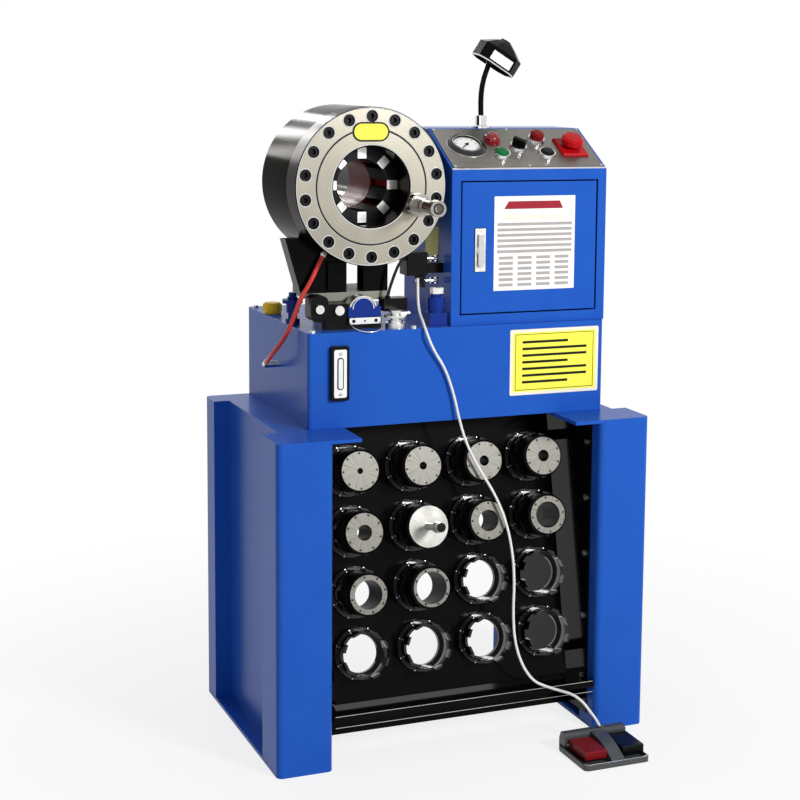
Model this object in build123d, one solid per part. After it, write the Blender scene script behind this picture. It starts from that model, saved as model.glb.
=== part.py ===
"""A hose crimping machine on a stand with a die rack.

Millimetres, +Z up, +Y to the back. The origin is on the floor, at the centre of the
four anchor holes in the feet. Each function makes one piece of the machine.
"""

import os
from math import atan, cos, degrees, radians, sin, tan

from build123d import *

# Gaps between pieces that move on each other
turning_fit = 0.05
moving_gap = 0.3

# The stand: two folded legs that carry the oil tank
stand_width = 920
stand_depth = 610
stand_height = 760
leg_width = 130
leg_sheet = 3
leg_bend = 14
leg_recess = 38
front_column = 120
rear_column = 80
leg_lip = 80
foot_plate = 8
top_plate = 8
top_plate_reach = 65
anchor_hole = 14
anchor_pitch_y = 320

# The rack between the legs: side sheets, tray and the tilted die panel
rack_sheet = 3
rack_side_front = -262
rack_side_rear = 262
rack_side_bottom = 30
rack_side_gap_top = 1
tray_floor = 112
tray_lip_height = 13
tray_front = -302
kick_plate_y = -170
panel_tilt = 12.5
panel_sheet = 3
panel_width = 592
panel_flange = 25
panel_bottom = 120
panel_top = 742
rack_columns = 4
rack_rows = 4
column_pitch = 154.5
row_pitch = 140.5
top_row_y = -103.5
top_row_z = 639.7

# Die sets and the cups that hold them
die_set_diameter = 99
die_set_length = 92
die_set_chamfer = 5
die_segments = 8
die_slit = 0.6
cup_clearance = 0.4
cup_wall = 6
cup_length = 58
cup_stop = 5.5
cup_stop_length = 8
cup_flange_diameter = 124
cup_flange = 8
cup_fingers = 8
cup_finger = 20
cup_finger_width = 20
die_bores = (7, 9, 12, 14, 18, 22, 25, 31, 33, 37)

# The tool that carries a die set: a disc, a shaft and a knob
tool_disc_diameter = 96
tool_disc = 8
tool_shaft_diameter = 17
tool_shaft = 44
tool_knob_diameter = 26
tool_knob_length = 34

# Bolts of the rack and the tank's lid
bolt_head_width = 14
bolt_head_height = 5

# The oil tank under the machine
tank_left = -350
tank_right = 395
tank_front = -182
tank_rear = 305
tank_height = 220
tank_wall = 4
tank_lid = 6
tank_bend = 8
gauge_slot_x = -277.75
gauge_slot_z = 887.5
gauge_slot_width = 42.5
gauge_slot_height = 125
gauge_slot_depth = 12

# The breather cap on the tank's lid
cap_x = -327
cap_y = 172
cap_radius = 23
cap_height = 26
cap_neck = 15
cap_grooves = 6

# The crimping head
head_x = -200
head_z = 1308
head_front = -182
head_diameter = 360
head_cover = 68
head_body = 194
bore_diameter = 182
groove_diameter = 262
groove = 2
cylinder_bore = 290
sliding_fit = 0.05
piston_stop_gap = 2
rear_wall = 20
cover_screws = 18
cover_screw_circle = 318
screw_head_diameter = 24
screw_head = 16
screw_socket = 14
counterbore_diameter = 27
counterbore_depth = 20
cone_angle = 25
die_shoe_length = 106
shoe_opening = 120
shoe_travel = 18
shoe_closed_gap = 4
liner_inner = 120
liner_outer = 130
liner_rear = 145
hub_diameter = 216
guide_outer = 140
guide_rear = 262

# The stepped handle on the head's front face
handle_x = -100
handle_z = 1268
handle_steps = ((15, 25), (26.5, 22), (17, 33), (14, 50), (18.5, 24))
handle_hole = 8
handle_hole_depth = 15

# The saddle under the head
saddle_top = 1185
saddle_plate = 44
saddle_gap = (-229, -188)
saddle_boss = (-277, -242, 1068, 1131)
base_plate_left = -311
base_plate_right = -128
base_plate_front = -94
base_plate_rear = 60
base_plate_top = 1060
base_plate = 20
pedestal_inset = 22

# The control cabinet
cabinet_left = 0
cabinet_right = 400
cabinet_front = -172
cabinet_slope_top = -16
cabinet_rear = 130
cabinet_front_top = 1344
cabinet_top = 1434
cabinet_sheet = 2
door_left = 22.5
door_right = 378
door_bottom = 1004.6
door_top = 1318
door_gap = 3.5
door_return = 18
door_pin = 3
door_pin_inset = 4
latch_x = 72
latch_z = 1156
latch_lever = 78
latch_lever_width = 13
latch_shaft = 10
latch_stand = 5
latch_thickness = 6

# The sloping control panel and what it carries; each place is (across, up the slope)
panel_plate = 2
panel_edge = 6
gauge_place = (71, 98)
gauge_flange = 94
gauge_body = 66
gauge_rise = 9
needle_length = 22
needle_rest = 225
pilot_place = (144, 121)
green_place = (146, 58)
selector_place = (200, 88)
red_place = (260, 121)
black_place = (264, 58)
stop_place = (338, 86)
control_hole = 22
bezel_diameter = 44
bezel_rise = 9
button_diameter = 34
button_fit = 0.3
button_rise = 14
red_button_rise = 24
button_travel = 4
selector_angle = 45
stop_base = (68, 74)
stop_base_rise = 7
stop_head_diameter = 54
stop_head = 20
stop_neck = 12
stop_travel = 5

# The lamp
lamp_x = 150
lamp_y = 12
lamp_flange = 50
lamp_sleeve = 29
lamp_sleeve_height = 30
neck_diameter = 13
shade_width = 104
shade_depth = 88
shade_wall = 2
shade_side = 40
shade_height = 70
shade_tilt = 31
shade_nod = 6
shade_joint = (-11, 3.5)
lamp_ball = 8

# Motor, pump and valves
motor_x = 200
motor_y = 222
motor_diameter = 160
motor_length = 215
motor_fins = 20
fan_cover = 62
shaft_diameter = 24
pump_radius = 52
pump_floor_gap = 40

# The foot pedal
pedal_left = 197
pedal_right = 364
pedal_front = -520
pedal_rear = -376
pedal_base = 5
pedal_rim = 13
pedal_wall = 5
pedal_housing = 30
pedal_height = 46
pedal_tread = 54
pedal_tread_height = 20
pedal_pin = 6
pedal_swing = 4.5

# The pedal's cord gland, pin and treads
pedal_corner = 12
pedal_gland = 7
pedal_gland_length = 14
pedal_pin_z = 24
pedal_pin_setback = 10
pedal_rib_middle = 36
pedal_tread_low = 14
pedal_tread_left = 13
pedal_tread_front = 24

# The switchgear on the cabinet's back wall
gear_plate = (30, 370, 1010, 1300)
gear_stand = 10
gear_plate_thickness = 2
gear_posts = ((50, 350), (1030, 1280))
gear_rail = (45, 355, 17)
gear_rails = (1080, 1210)
gear_half = 40
gear_devices = ((55, 100, 84, 1210), (110, 155, 84, 1210), (170, 240, 70, 1210),
                (60, 220, 50, 1080), (240, 330, 90, 1080))

# The valves and the limit switch on the lid's front edge
valve_front = -148
valve_depth = 46
valve_low = 28
manifold_left = -292
manifold_right = -160
solenoid_left = -243
solenoid_right = -164
solenoid_x = -207
solenoid_radius = 31
yoke = 3
yoke_length = 38
solenoid_axis = 15
solenoid_seat = 24
bail_wire = 1.3
bail_half = 32
bail_ends = 1000
bail_low = 979
manifold_block = (-289, -244, 32)
manifold_port = (-266, 18)
port_radius = 11
port_length = 12
black_coil_box = (-332, -290, 1000, 1060)
black_coil_corner = 16
black_coil_core = (-313, 1030)
core_radius = 10
relief_x = -128
relief_steps = ((24, 12), (17, 7), (12, 6), (27, 5), (12, 6), (16, 5))
relief_lever_height = 33
relief_lever = 5
relief_lever_reach = 34
tower_place = (-332, -8)
tower_steps = ((17, 12), (11, 14), (15, 22), (24, 9), (12, 6), (9, 10))
return_valve_x = -29
return_valve_y = -149
return_valve_width = 42
return_block = 38
return_block_height = 32
return_steps = ((19, 6), (21, 30), (13, 8))
plug_low = 76
plug_height = 14
junction_box = (-150, -92, -130, 1016, 1046)
switch_box = (-96, -45, -138, -86, 1098, 1152)
switch_toe = (-57, 1068)
switch_arm = (1101, 1124)
rod_heights = (1134, 1082)
rod_starts = (-106, -64)
rod_end = -10
rod_radius = 4
rod_discs = ((7, 6), (4, 6), (8, 6))
rod_behind = 26
toe_depth = 24
cord_gland = 8
cable_gland = 7
cable_gland_length = 14

# Where the cords end
switch_cord_start = (-66, -128, 1092)
pedal_cord_end = (297, -394, 50)
hose_start = (-291.5, -106, 1146)
hose_end = (-384, 26, 886)
hose_fitting = 8

# Cords
cord_diameter = 6.5
hose_diameter = 10.5
cable_diameter = 7

LOW = (Align.CENTER, Align.CENTER, Align.MIN)

leg_outer = stand_width / 2
leg_inner = leg_outer - leg_width
front = -stand_depth / 2
rear = stand_depth / 2
tank_bottom = stand_height
tank_top = tank_bottom + tank_height
head_rear = head_front + head_cover + head_body
shoe_front = head_front + head_cover + moving_gap
shoe_back = shoe_front + die_shoe_length
cone_slope = tan(radians(cone_angle))
piston_travel = shoe_travel / cone_slope


def box(x0, x1, y0, y1, z0, z1):
    """A box between two opposite corners."""
    middle = ((x0 + x1) / 2, (y0 + y1) / 2, (z0 + z1) / 2)
    return Pos(*middle) * Box(x1 - x0, y1 - y0, z1 - z0)


def rod(start, end, radius):
    """A round rod from one point to another."""
    direction = Vector(*end) - Vector(*start)
    place = Plane(origin=start, z_dir=direction)
    return place * Cylinder(radius, direction.length, align=LOW)


def turned(place, profile):
    """A turned piece: (radius, height) points, revolved about the place's normal."""
    outline = make_face(Polyline(*[(r, 0, h) for r, h in profile], close=True))
    return place * revolve(outline, Axis.Z)


def stepped(place, steps):
    """Discs stacked on each other, each given as (radius, thickness)."""
    profile = [(0, 0)]
    height = 0
    for radius, thickness in steps:
        profile.append((radius, height))
        height += thickness
        profile.append((radius, height))
    profile.append((0, height))
    return turned(place, profile)


def prism(points, place, depth):
    """An outline of (across, up) points on a plane, pushed along its normal."""
    outline = make_face(Polyline(*points, close=True))
    return extrude(place * outline, amount=depth, dir=place.z_dir)


def group(pieces):
    """Separate solids under one name."""
    return Compound(children=list(pieces))


def write(name, piece):
    """One file for one piece, with the name of the piece."""
    export_step(piece, f"parts/{name}.step")


def along_y(x, y, z):
    """A plane across the Y axis, whose normal points to the back."""
    return Plane(origin=(x, y, z), x_dir=(1, 0, 0), z_dir=(0, 1, 0))


def leg_column():
    """The left leg's folded sheet: two columns, a recess, and lips on its open side."""
    recess = leg_outer - leg_recess
    recess_front = front + front_column
    recess_rear = rear - rear_column
    corners = (
        (-leg_inner, front),
        (-leg_outer, front),
        (-leg_outer, recess_front),
        (-recess, recess_front),
        (-recess, recess_rear),
        (-leg_outer, recess_rear),
        (-leg_outer, rear),
        (-leg_inner, rear),
    )
    face = make_face(Polyline(*corners, close=True))
    edge_corners = [v for v in face.vertices() if abs(abs(v.Y) - rear) < 0.1]
    face = fillet(edge_corners, leg_bend)
    skin = face - offset(face, amount=-leg_sheet)
    height = stand_height - top_plate - foot_plate
    column = Pos(0, 0, foot_plate) * extrude(skin, height)
    opening = box(-leg_inner - leg_sheet - 1, -leg_inner + 1,
                  front + leg_lip, rear - leg_lip, 0, stand_height)
    return column - opening


def foot():
    """The left leg's foot plate, with two anchor holes in the recess."""
    plate = box(-leg_outer, -leg_inner, front, rear, 0, foot_plate)
    plate = fillet(plate.edges().filter_by(Axis.Z), leg_bend)
    hole_x = -leg_outer + leg_recess / 2
    for side in (-1, 1):
        plate -= Pos(hole_x, side * anchor_pitch_y / 2, foot_plate / 2) * Cylinder(
            anchor_hole / 2, foot_plate + 2)
    return plate


def leg_top():
    """The left leg's top plate, which reaches inwards under the tank."""
    plate = box(-leg_outer, -leg_inner + top_plate_reach, front, rear,
                stand_height - top_plate, stand_height)
    outer = plate.edges().filter_by(Axis.Z).sort_by(Axis.X)[:2]
    plate = fillet(outer, leg_bend)
    return plate - box(-leg_outer - 1, -leg_outer + leg_recess, front + front_column,
                       rear - rear_column, 0, stand_height + 1)


def stand_legs():
    """Both legs, each a column with its foot and top plate."""
    left = [leg_column(), foot(), leg_top()]
    write("left_leg", group(left))
    write("right_leg", group([mirror(piece, about=Plane.YZ) for piece in left]))


def rack_point(column, row):
    """The centre of a cup's seat on the front of the die panel."""
    across = (column - (rack_columns - 1) / 2) * column_pitch
    down = row * row_pitch
    tilt = radians(panel_tilt)
    return (across, top_row_y - down * sin(tilt), top_row_z - down * cos(tilt))


def rack_plane(column, row):
    """A plane on a cup's seat, whose normal points out of the rack."""
    tilt = radians(panel_tilt)
    return Plane(origin=rack_point(column, row), x_dir=(1, 0, 0),
                 z_dir=(0, -cos(tilt), sin(tilt)))


def panel_y(z):
    """The depth of the die panel's front surface at a height."""
    return top_row_y - (top_row_z - z) * tan(radians(panel_tilt))


def rack_frame():
    """Side sheets on the legs' lips, the tray, the kick plate and four panel spacers."""
    side_top = stand_height - top_plate - rack_side_gap_top
    sheet_inner = leg_inner - rack_sheet
    pieces = []
    for side in (-1, 1):
        inner, outer = sorted((side * sheet_inner, side * leg_inner))
        sheet = box(inner, outer, rack_side_front, rack_side_rear, rack_side_bottom, side_top)
        pieces.append(sheet)
    half = sheet_inner
    floor = box(-half, half, tray_front, kick_plate_y, tray_floor - rack_sheet, tray_floor)
    lip = box(-half, half, tray_front, tray_front + rack_sheet, tray_floor - rack_sheet,
              tray_floor + tray_lip_height)
    hem = box(-half, half, tray_front, tray_front + 3 * rack_sheet,
              tray_floor + tray_lip_height - rack_sheet, tray_floor + tray_lip_height)
    kick = box(-half, half, kick_plate_y - rack_sheet, kick_plate_y, rack_side_bottom,
               tray_floor - rack_sheet)
    pieces.append(floor + lip + hem + kick)
    for side in (-1, 1):
        for z in (panel_bottom + 60, panel_top - 60):
            near, far = sorted((side * panel_width / 2, side * sheet_inner))
            y = panel_y(z) + panel_sheet + panel_flange / 2
            pieces.append(box(near, far, y - 6, y + 6, z - 12, z + 12))
    write("rack_frame", group(pieces))


def die_rack_panel():
    """The tilted panel, folded back at its sides, with a hole behind each cup."""
    tilt = radians(panel_tilt)
    seat = rack_plane(1.5, 0)
    up = (panel_top - top_row_z) / cos(tilt)
    down = (top_row_z - panel_bottom) / cos(tilt)
    middle = (up - down) / 2
    sheet = Pos(0, middle, -panel_sheet / 2) * Box(panel_width, up + down, panel_sheet)
    for side in (-1, 1):
        x = side * (panel_width - panel_sheet) / 2
        deep = panel_sheet + panel_flange
        sheet += Pos(x, middle, -deep / 2) * Box(panel_sheet, up + down, deep)
    panel = seat * sheet
    hole = die_set_diameter / 2 - cup_stop
    for row in range(rack_rows):
        for column in range(rack_columns):
            place = rack_plane(column, row)
            panel -= place * Cylinder(hole, 4 * panel_sheet)
    write("die_rack_panel", panel)


def cup(place):
    """A cup that holds one die set: a flanged ring with a stop, and fingers round its mouth."""
    inner = die_set_diameter / 2 + cup_clearance
    outer = inner + cup_wall
    flange = cup_flange_diameter / 2
    stop = die_set_diameter / 2 - cup_stop
    ring_end = cup_length - cup_finger
    ring = turned(place, [
        (stop, 0), (flange, 0), (flange, cup_flange - 2), (flange - 2, cup_flange),
        (outer, cup_flange), (outer, ring_end), (inner, ring_end), (inner, cup_stop_length),
        (stop, cup_stop_length)])
    blank = Cylinder(outer, cup_finger, align=LOW)
    cutter = Box(cup_wall, cup_finger_width, cup_finger, align=LOW)
    finger = blank & (Pos(inner + cup_clearance + cup_wall / 2, 0, 0) * cutter)
    pieces = [ring]
    for number in range(cup_fingers):
        turn = (number + 0.5) * 360 / cup_fingers
        pieces.append(place * Rot(0, 0, turn) * Pos(0, 0, ring_end) * finger)
    return pieces


def rack_places():
    """Every cup's column and row, from the top left."""
    return [(column, row) for row in range(rack_rows) for column in range(rack_columns)]


def die_cups():
    """Cups in use, which hold a die set, and empty ones."""
    filled = rack_places()[:len(die_bores)]
    empty = rack_places()[len(die_bores):]
    for name, spots in (("die_cups", filled), ("empty_die_cups", empty)):
        write(name, group(piece for spot in spots for piece in cup(rack_plane(*spot))))


def die_segment(bore, turn):
    """One segment of a die set, cut off from its neighbours by straight slits."""
    outer = die_set_diameter / 2
    bottom = cup_stop_length
    top = bottom + die_set_length
    profile = [(bore, bottom), (outer, bottom), (outer, top - die_set_chamfer),
               (outer - die_set_chamfer, top), (bore, top)]
    outline = make_face(Polyline(*[(r, 0, h) for r, h in profile], close=True))
    pitch = 360 / die_segments
    slit_angle = degrees(die_slit / (2 * outer))
    wedge = revolve(outline, Axis.Z, revolution_arc=pitch - 2 * slit_angle)
    return Rot(0, 0, turn + slit_angle) * wedge


def stored_die_sets():
    """The die sets in the rack: eight segments each, with bores that grow."""
    segments = []
    for (column, row), bore in zip(rack_places(), die_bores):
        place = rack_plane(column, row)
        for number in range(die_segments):
            turn = (number + 0.5) * 360 / die_segments
            segments.append(place * die_segment(bore, turn))
    write("stored_die_sets", group(segments))


def die_tool():
    """The tool in one die set: disc, shaft and knob, on the set's front face."""
    seat = rack_plane(1, 1)
    start = cup_stop_length + die_set_length
    disc = seat * Pos(0, 0, start) * Cylinder(tool_disc_diameter / 2, tool_disc, align=LOW)
    spigot = die_bores[5] - 1
    plug = seat * Pos(0, 0, start - 20) * Cylinder(spigot, 20, align=LOW)
    shaft = stepped(seat * Pos(0, 0, start + tool_disc), (
        (tool_shaft_diameter / 2, tool_shaft),))
    knob = stepped(seat * Pos(0, 0, start + tool_disc + tool_shaft), (
        (tool_knob_diameter / 2 - 3, 6),
        (tool_knob_diameter / 2, tool_knob_length - 10),
        (tool_knob_diameter / 2 - 3, 4)))
    write("die_tool", disc + plug + shaft + knob)


def oil_tank():
    """The welded tank and its bolted lid."""
    shell = box(tank_left, tank_right, tank_front, tank_rear, tank_bottom, tank_top - tank_lid)
    shell = fillet(shell.edges().filter_by(Axis.Z), tank_bend)
    hollow = box(tank_left + tank_wall, tank_right - tank_wall, tank_front + tank_wall,
                 tank_rear - tank_wall, tank_bottom + tank_wall, tank_top)
    lid = box(tank_left, tank_right, tank_front, tank_rear, tank_top - tank_lid, tank_top)
    lid = fillet(lid.edges().filter_by(Axis.Z), tank_bend)
    lid -= Pos(motor_x, motor_y, tank_top) * Cylinder(pump_radius + 3, 4 * tank_lid)
    lid -= Pos(cap_x, cap_y, tank_top) * Cylinder(cap_neck + turning_fit, 4 * tank_lid)
    write("oil_tank", group([shell - hollow, lid]))


def filler_cap():
    """The breather cap, whose neck turns in the lid."""
    top = Plane(origin=(cap_x, cap_y, tank_top + moving_gap))
    cap = stepped(top, ((cap_radius - 2, 5), (cap_radius, cap_height - 8), (cap_radius - 4, 3)))
    cap += rod((cap_x, cap_y, tank_top - 1.5 * tank_lid), (cap_x, cap_y, tank_top + 1), cap_neck)
    for number in range(cap_grooves):
        turn = Rot(0, 0, number * 360 / cap_grooves)
        cap -= top * turn * Pos(cap_radius + 1, 0, cap_height / 2) * Box(5, 7, cap_height - 8)
    write("filler_cap", cap)


def level_gauge():
    """The oil level gauge: a frame round a sight glass."""
    half_width = gauge_slot_width / 2
    half_height = gauge_slot_height / 2
    frame = box(gauge_slot_x - half_width, gauge_slot_x + half_width,
                tank_front - gauge_slot_depth, tank_front,
                gauge_slot_z - half_height, gauge_slot_z + half_height)
    frame = fillet(frame.edges().filter_by(Axis.Y), 4)
    window = box(gauge_slot_x - 8, gauge_slot_x + 8, tank_front - gauge_slot_depth - 1,
                 tank_front - gauge_slot_depth / 2, gauge_slot_z - 34, gauge_slot_z + 34)
    write("level_gauge", frame - window)


def head_plane(y):
    """A plane across the head's axis, at a depth."""
    return along_y(head_x, y, head_z)


def cover_screw_places():
    """Centres of the cover's screws, as (x, z)."""
    radius = cover_screw_circle / 2
    places = []
    for number in range(cover_screws):
        turn = radians(90 + number * 360 / cover_screws)
        places.append((head_x + radius * cos(turn), head_z + radius * sin(turn)))
    return places


def head_cover_plate():
    """The front cover: a thick ring with a groove and counterbored screw holes."""
    outer = head_diameter / 2
    inner = bore_diameter / 2
    ring = turned(head_plane(head_front), [
        (inner + 3, 0), (groove_diameter / 2 - groove, 0), (groove_diameter / 2, groove),
        (groove_diameter / 2 + groove, 0), (outer - 2, 0), (outer, 2), (outer, head_cover),
        (inner, head_cover), (inner, 3)])
    for x, z in cover_screw_places():
        ring -= rod((x, head_front - 1, z), (x, head_front + counterbore_depth, z),
                    counterbore_diameter / 2)
    write("head_cover", ring)


def head_cover_screws():
    """Socket-head screws in the cover's counterbores."""
    screws = []
    for x, z in cover_screw_places():
        bottom = head_front + counterbore_depth
        head = rod((x, bottom - screw_head, z), (x, bottom, z), screw_head_diameter / 2)
        socket = extrude(along_y(x, bottom - screw_head, z)
                         * RegularPolygon(screw_socket / 2, 6), amount=screw_head / 2,
                         dir=(0, 1, 0))
        screws.append(head - socket)
    write("cover_screws", group(screws))


def head_cylinder():
    """The cylinder behind the cover, closed by a rear wall with a hub."""
    outer = head_diameter / 2
    bore = cylinder_bore / 2
    seat = liner_outer / 2
    start = head_front + head_cover
    wall = head_body - rear_wall
    hub = liner_rear - start
    write("head_cylinder", turned(head_plane(start), [
        (bore, 0), (outer, 0), (outer, head_body - 3), (outer - 3, head_body),
        (hub_diameter / 2, head_body), (hub_diameter / 2, hub), (seat, hub),
        (seat, wall), (bore, wall)]))


def bore_liner():
    """The painted tube through the rear wall, which the hose passes."""
    start = shoe_back + 5
    write("bore_liner", turned(head_plane(start), [
        (liner_inner / 2, 0), (liner_outer / 2, 0), (liner_outer / 2, liner_rear - start),
        (liner_inner / 2, liner_rear - start)]))


def rear_hose_guide():
    """The guard tube behind the hub, with a flange against it."""
    length = guide_rear - liner_rear
    inner = liner_inner / 2
    outer = guide_outer / 2
    write("rear_hose_guide", turned(head_plane(liner_rear), [
        (inner, 0), (hub_diameter / 2 - 8, 0), (hub_diameter / 2 - 8, 8), (outer, 8),
        (outer, length - 3), (outer - 3, length), (inner, length)]))


def shoe_back_radius(y):
    """The radius of the cone that drives the die shoes, at a depth, with the head open."""
    deepest = liner_outer / 2 + 9
    return deepest + (shoe_back - y) * cone_slope


def piston():
    """The ring piston, whose inner cone drives the die shoes inwards."""
    start = shoe_front + piston_travel + 4
    mouth = shoe_back_radius(start) + moving_gap
    end = head_rear - rear_wall - piston_stop_gap
    outer = cylinder_bore / 2 - sliding_fit
    inner = liner_outer / 2 + sliding_fit
    throat = (mouth - inner) / cone_slope
    write("piston", turned(head_plane(start), [
        (mouth, 0), (outer, 0), (outer, end - start), (inner, end - start), (inner, throat)]))


def die_shoe(number):
    """One master die: a sector with a conical back, a round seat and straight flanks."""
    closed_back = shoe_back_radius(shoe_front) - shoe_travel
    tail = shoe_back_radius(shoe_back) - shoe_travel
    closed_seat = shoe_opening / 2 - shoe_travel
    blank = turned(head_plane(shoe_front), [
        (1, 0), (closed_back, 0), (tail, die_shoe_length), (1, die_shoe_length)])
    pitch = 360 / die_segments
    turn = 90 + (number + 0.5) * pitch
    reach = head_diameter
    half = radians(pitch / 2)
    root = shoe_closed_gap / 2 / sin(half)
    sector = prism([(root, 0), (root + reach * cos(half), reach * sin(half)),
                    (root + reach * cos(half), -reach * sin(half))], Plane.XY, die_shoe_length)
    centre = Plane(origin=(head_x, shoe_front, head_z),
                   x_dir=(cos(radians(turn)), 0, sin(radians(turn))), z_dir=(0, 1, 0))
    seat = die_set_diameter / 2
    closed = (blank & (centre * sector)) - centre * Pos(closed_seat - seat, 0, 0) * Cylinder(
        seat, 3 * die_shoe_length)
    open_by = Vector(cos(radians(turn)), 0, sin(radians(turn))) * shoe_travel
    return Pos(open_by) * closed


def die_shoes():
    """The eight master dies round the bore, with a gap at the top."""
    for number in range(die_segments):
        write(f"die_shoe_{number + 1}", die_shoe(number))


def head_handle():
    """The stepped handle that stands on the head's front face."""
    place = Plane(origin=(handle_x, head_front, handle_z), x_dir=(1, 0, 0), z_dir=(0, -1, 0))
    handle = stepped(place, handle_steps)
    length = sum(step[1] for step in handle_steps)
    hole = place * Pos(0, 0, length - handle_hole_depth) * Cylinder(
        handle_hole, handle_hole_depth + 1, align=LOW)
    write("head_handle", handle - hole)


def head_saddle():
    """Black brackets between the base plate and the cylinder: two in front, one behind."""
    gap_left, gap_right = saddle_gap
    room = rod((head_x, head_front, head_z), (head_x, head_rear, head_z), head_diameter / 2)
    left = [(-340, base_plate_top), (-376, saddle_top), (gap_left, saddle_top),
            (gap_left, base_plate_top)]
    right = [(gap_right, base_plate_top), (gap_right, saddle_top),
             (base_plate_right, saddle_top), (base_plate_right, base_plate_top)]
    behind = [(-292, base_plate_top), (-328, saddle_top), (-195, saddle_top),
              (-195, base_plate_top)]
    pieces = []
    for outline, y in ((left, base_plate_front), (right, base_plate_front),
                       (behind, base_plate_rear - saddle_plate)):
        face = Plane(origin=(0, y, 0), x_dir=(1, 0, 0), z_dir=(0, -1, 0))
        pieces.append(prism(outline, face, -saddle_plate) - room)
    x0, x1, z0, z1 = saddle_boss
    pieces[0] += box(x0, x1, base_plate_front - 10, base_plate_front, z0, z1)
    write("head_saddle", group(pieces))


def head_base_plate():
    """The grey base plate and the pedestal that lifts it off the lid."""
    plate = box(base_plate_left, base_plate_right, base_plate_front, base_plate_rear,
                base_plate_top - base_plate, base_plate_top)
    pedestal = box(base_plate_left + 2 * pedestal_inset, base_plate_right - pedestal_inset,
                   base_plate_front + 2 * pedestal_inset, base_plate_rear - pedestal_inset,
                   tank_top, base_plate_top - base_plate)
    write("head_base_plate", group([plate, pedestal]))


def cabinet_profile(inset):
    """The cabinet's side outline, drawn in by a wall."""
    slope = atan((cabinet_top - cabinet_front_top) / (cabinet_slope_top - cabinet_front))
    drop = inset / cos(slope)
    front_y = cabinet_front + inset
    low = cabinet_front_top + inset * tan(slope) - drop
    top_z = cabinet_top - inset
    bend_y = cabinet_slope_top + (drop - inset) / tan(slope)
    return [(front_y, tank_top + inset), (front_y, low), (bend_y, top_z),
            (cabinet_rear - inset, top_z), (cabinet_rear - inset, tank_top + inset)]


def slope_plane():
    """The sloping face: X across, Y up the slope, with its origin at the lower left."""
    rise = cabinet_top - cabinet_front_top
    run = cabinet_slope_top - cabinet_front
    return Plane(origin=(cabinet_left, cabinet_front, cabinet_front_top), x_dir=(1, 0, 0),
                 z_dir=(0, -rise, run))


def slope_length():
    """The length of the sloping face from its lower to its upper edge."""
    rise = cabinet_top - cabinet_front_top
    run = cabinet_slope_top - cabinet_front
    return (rise ** 2 + run ** 2) ** 0.5


def control_openings():
    """The holes in the slope and its panel, as (place, radius)."""
    gap = 0.5
    places = (pilot_place, green_place, selector_place, red_place, black_place, stop_place)
    holes = [(place, control_hole / 2 + gap) for place in places]
    return holes + [(gauge_place, gauge_body / 2 + gap)]


def cabinet_shell():
    """The folded cabinet, with a doorway, its return flanges and two hinge pins."""
    side = Plane(origin=(cabinet_left, 0, 0), x_dir=(0, 1, 0), z_dir=(1, 0, 0))
    width = cabinet_right - cabinet_left
    outer = prism(cabinet_profile(0), side, width)
    inner_side = Plane(origin=(cabinet_left + cabinet_sheet, 0, 0), x_dir=(0, 1, 0),
                       z_dir=(1, 0, 0))
    shell = outer - prism(cabinet_profile(cabinet_sheet), inner_side, width - 2 * cabinet_sheet)
    shell -= box(door_left, door_right, cabinet_front - 1, cabinet_front + 2 * cabinet_sheet,
                 door_bottom, door_top)
    slope = slope_plane()
    for place, radius in control_openings():
        shell -= slope * Pos(*place, 0) * Cylinder(radius, 6 * cabinet_sheet)
    pin_x, pin_y = door_axis()
    for z, away in ((door_top, 1), (door_bottom, -1)):
        near, far = sorted((z, z + away * 3 * cabinet_sheet))
        shell += box(pin_x - 9, door_right + 4, cabinet_front + cabinet_sheet, pin_y + 9,
                     near, far)
        shell += rod((pin_x, pin_y, z + away * 2 * cabinet_sheet),
                     (pin_x, pin_y, z - away * (door_gap + 6)), door_pin / 2)
    write("cabinet_shell", shell)


def door_axis():
    """The door's hinge line, as (x, y)."""
    x = door_right - door_gap - door_pin_inset
    y = cabinet_front + cabinet_sheet + door_pin / 2 + turning_fit
    return (x, y)


def cabinet_door():
    """The door: a tray of sheet, with returns all round."""
    left = door_left + door_gap
    right = door_right - door_gap
    low = door_bottom + door_gap
    high = door_top - door_gap
    tray = box(left, right, cabinet_front, cabinet_front + door_return, low, high)
    tray = fillet(tray.edges().filter_by(Axis.Z).sort_by(Axis.Y)[:2], 2)
    wall = cabinet_sheet
    tray -= box(left + wall, right - wall, cabinet_front + wall,
                cabinet_front + door_return + 1, low + wall, high - wall)
    pin_x, pin_y = door_axis()
    tray -= rod((pin_x, pin_y, low - 1), (pin_x, pin_y, high + 1), door_pin / 2 + turning_fit)
    tray -= rod((latch_x, cabinet_front - 1, latch_z), (latch_x, cabinet_front + 5, latch_z),
                latch_shaft / 2 + turning_fit)
    write("cabinet_door", tray)


def door_latch():
    """The turning latch: a lever outside and a tongue inside, on one shaft."""
    half = latch_lever / 2
    stand = cabinet_front - latch_stand
    lever = box(latch_x - latch_lever_width / 2, latch_x + latch_lever_width / 2,
                stand - latch_thickness, stand, latch_z - half, latch_z + half)
    lever = fillet(lever.edges().filter_by(Axis.Y), latch_lever_width / 2 - 0.5)
    shaft = rod((latch_x, stand, latch_z),
                (latch_x, cabinet_front + door_return + 4, latch_z), latch_shaft / 2)
    collar = rod((latch_x, stand, latch_z),
                 (latch_x, cabinet_front - moving_gap, latch_z), latch_shaft)
    reach = latch_x - door_left + 12
    tongue = box(latch_x - 9, latch_x + 9, cabinet_front + door_return + 1,
                 cabinet_front + door_return + 4, latch_z - reach, latch_z + 9)
    write("door_latch", lever + shaft + collar + tongue)


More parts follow.
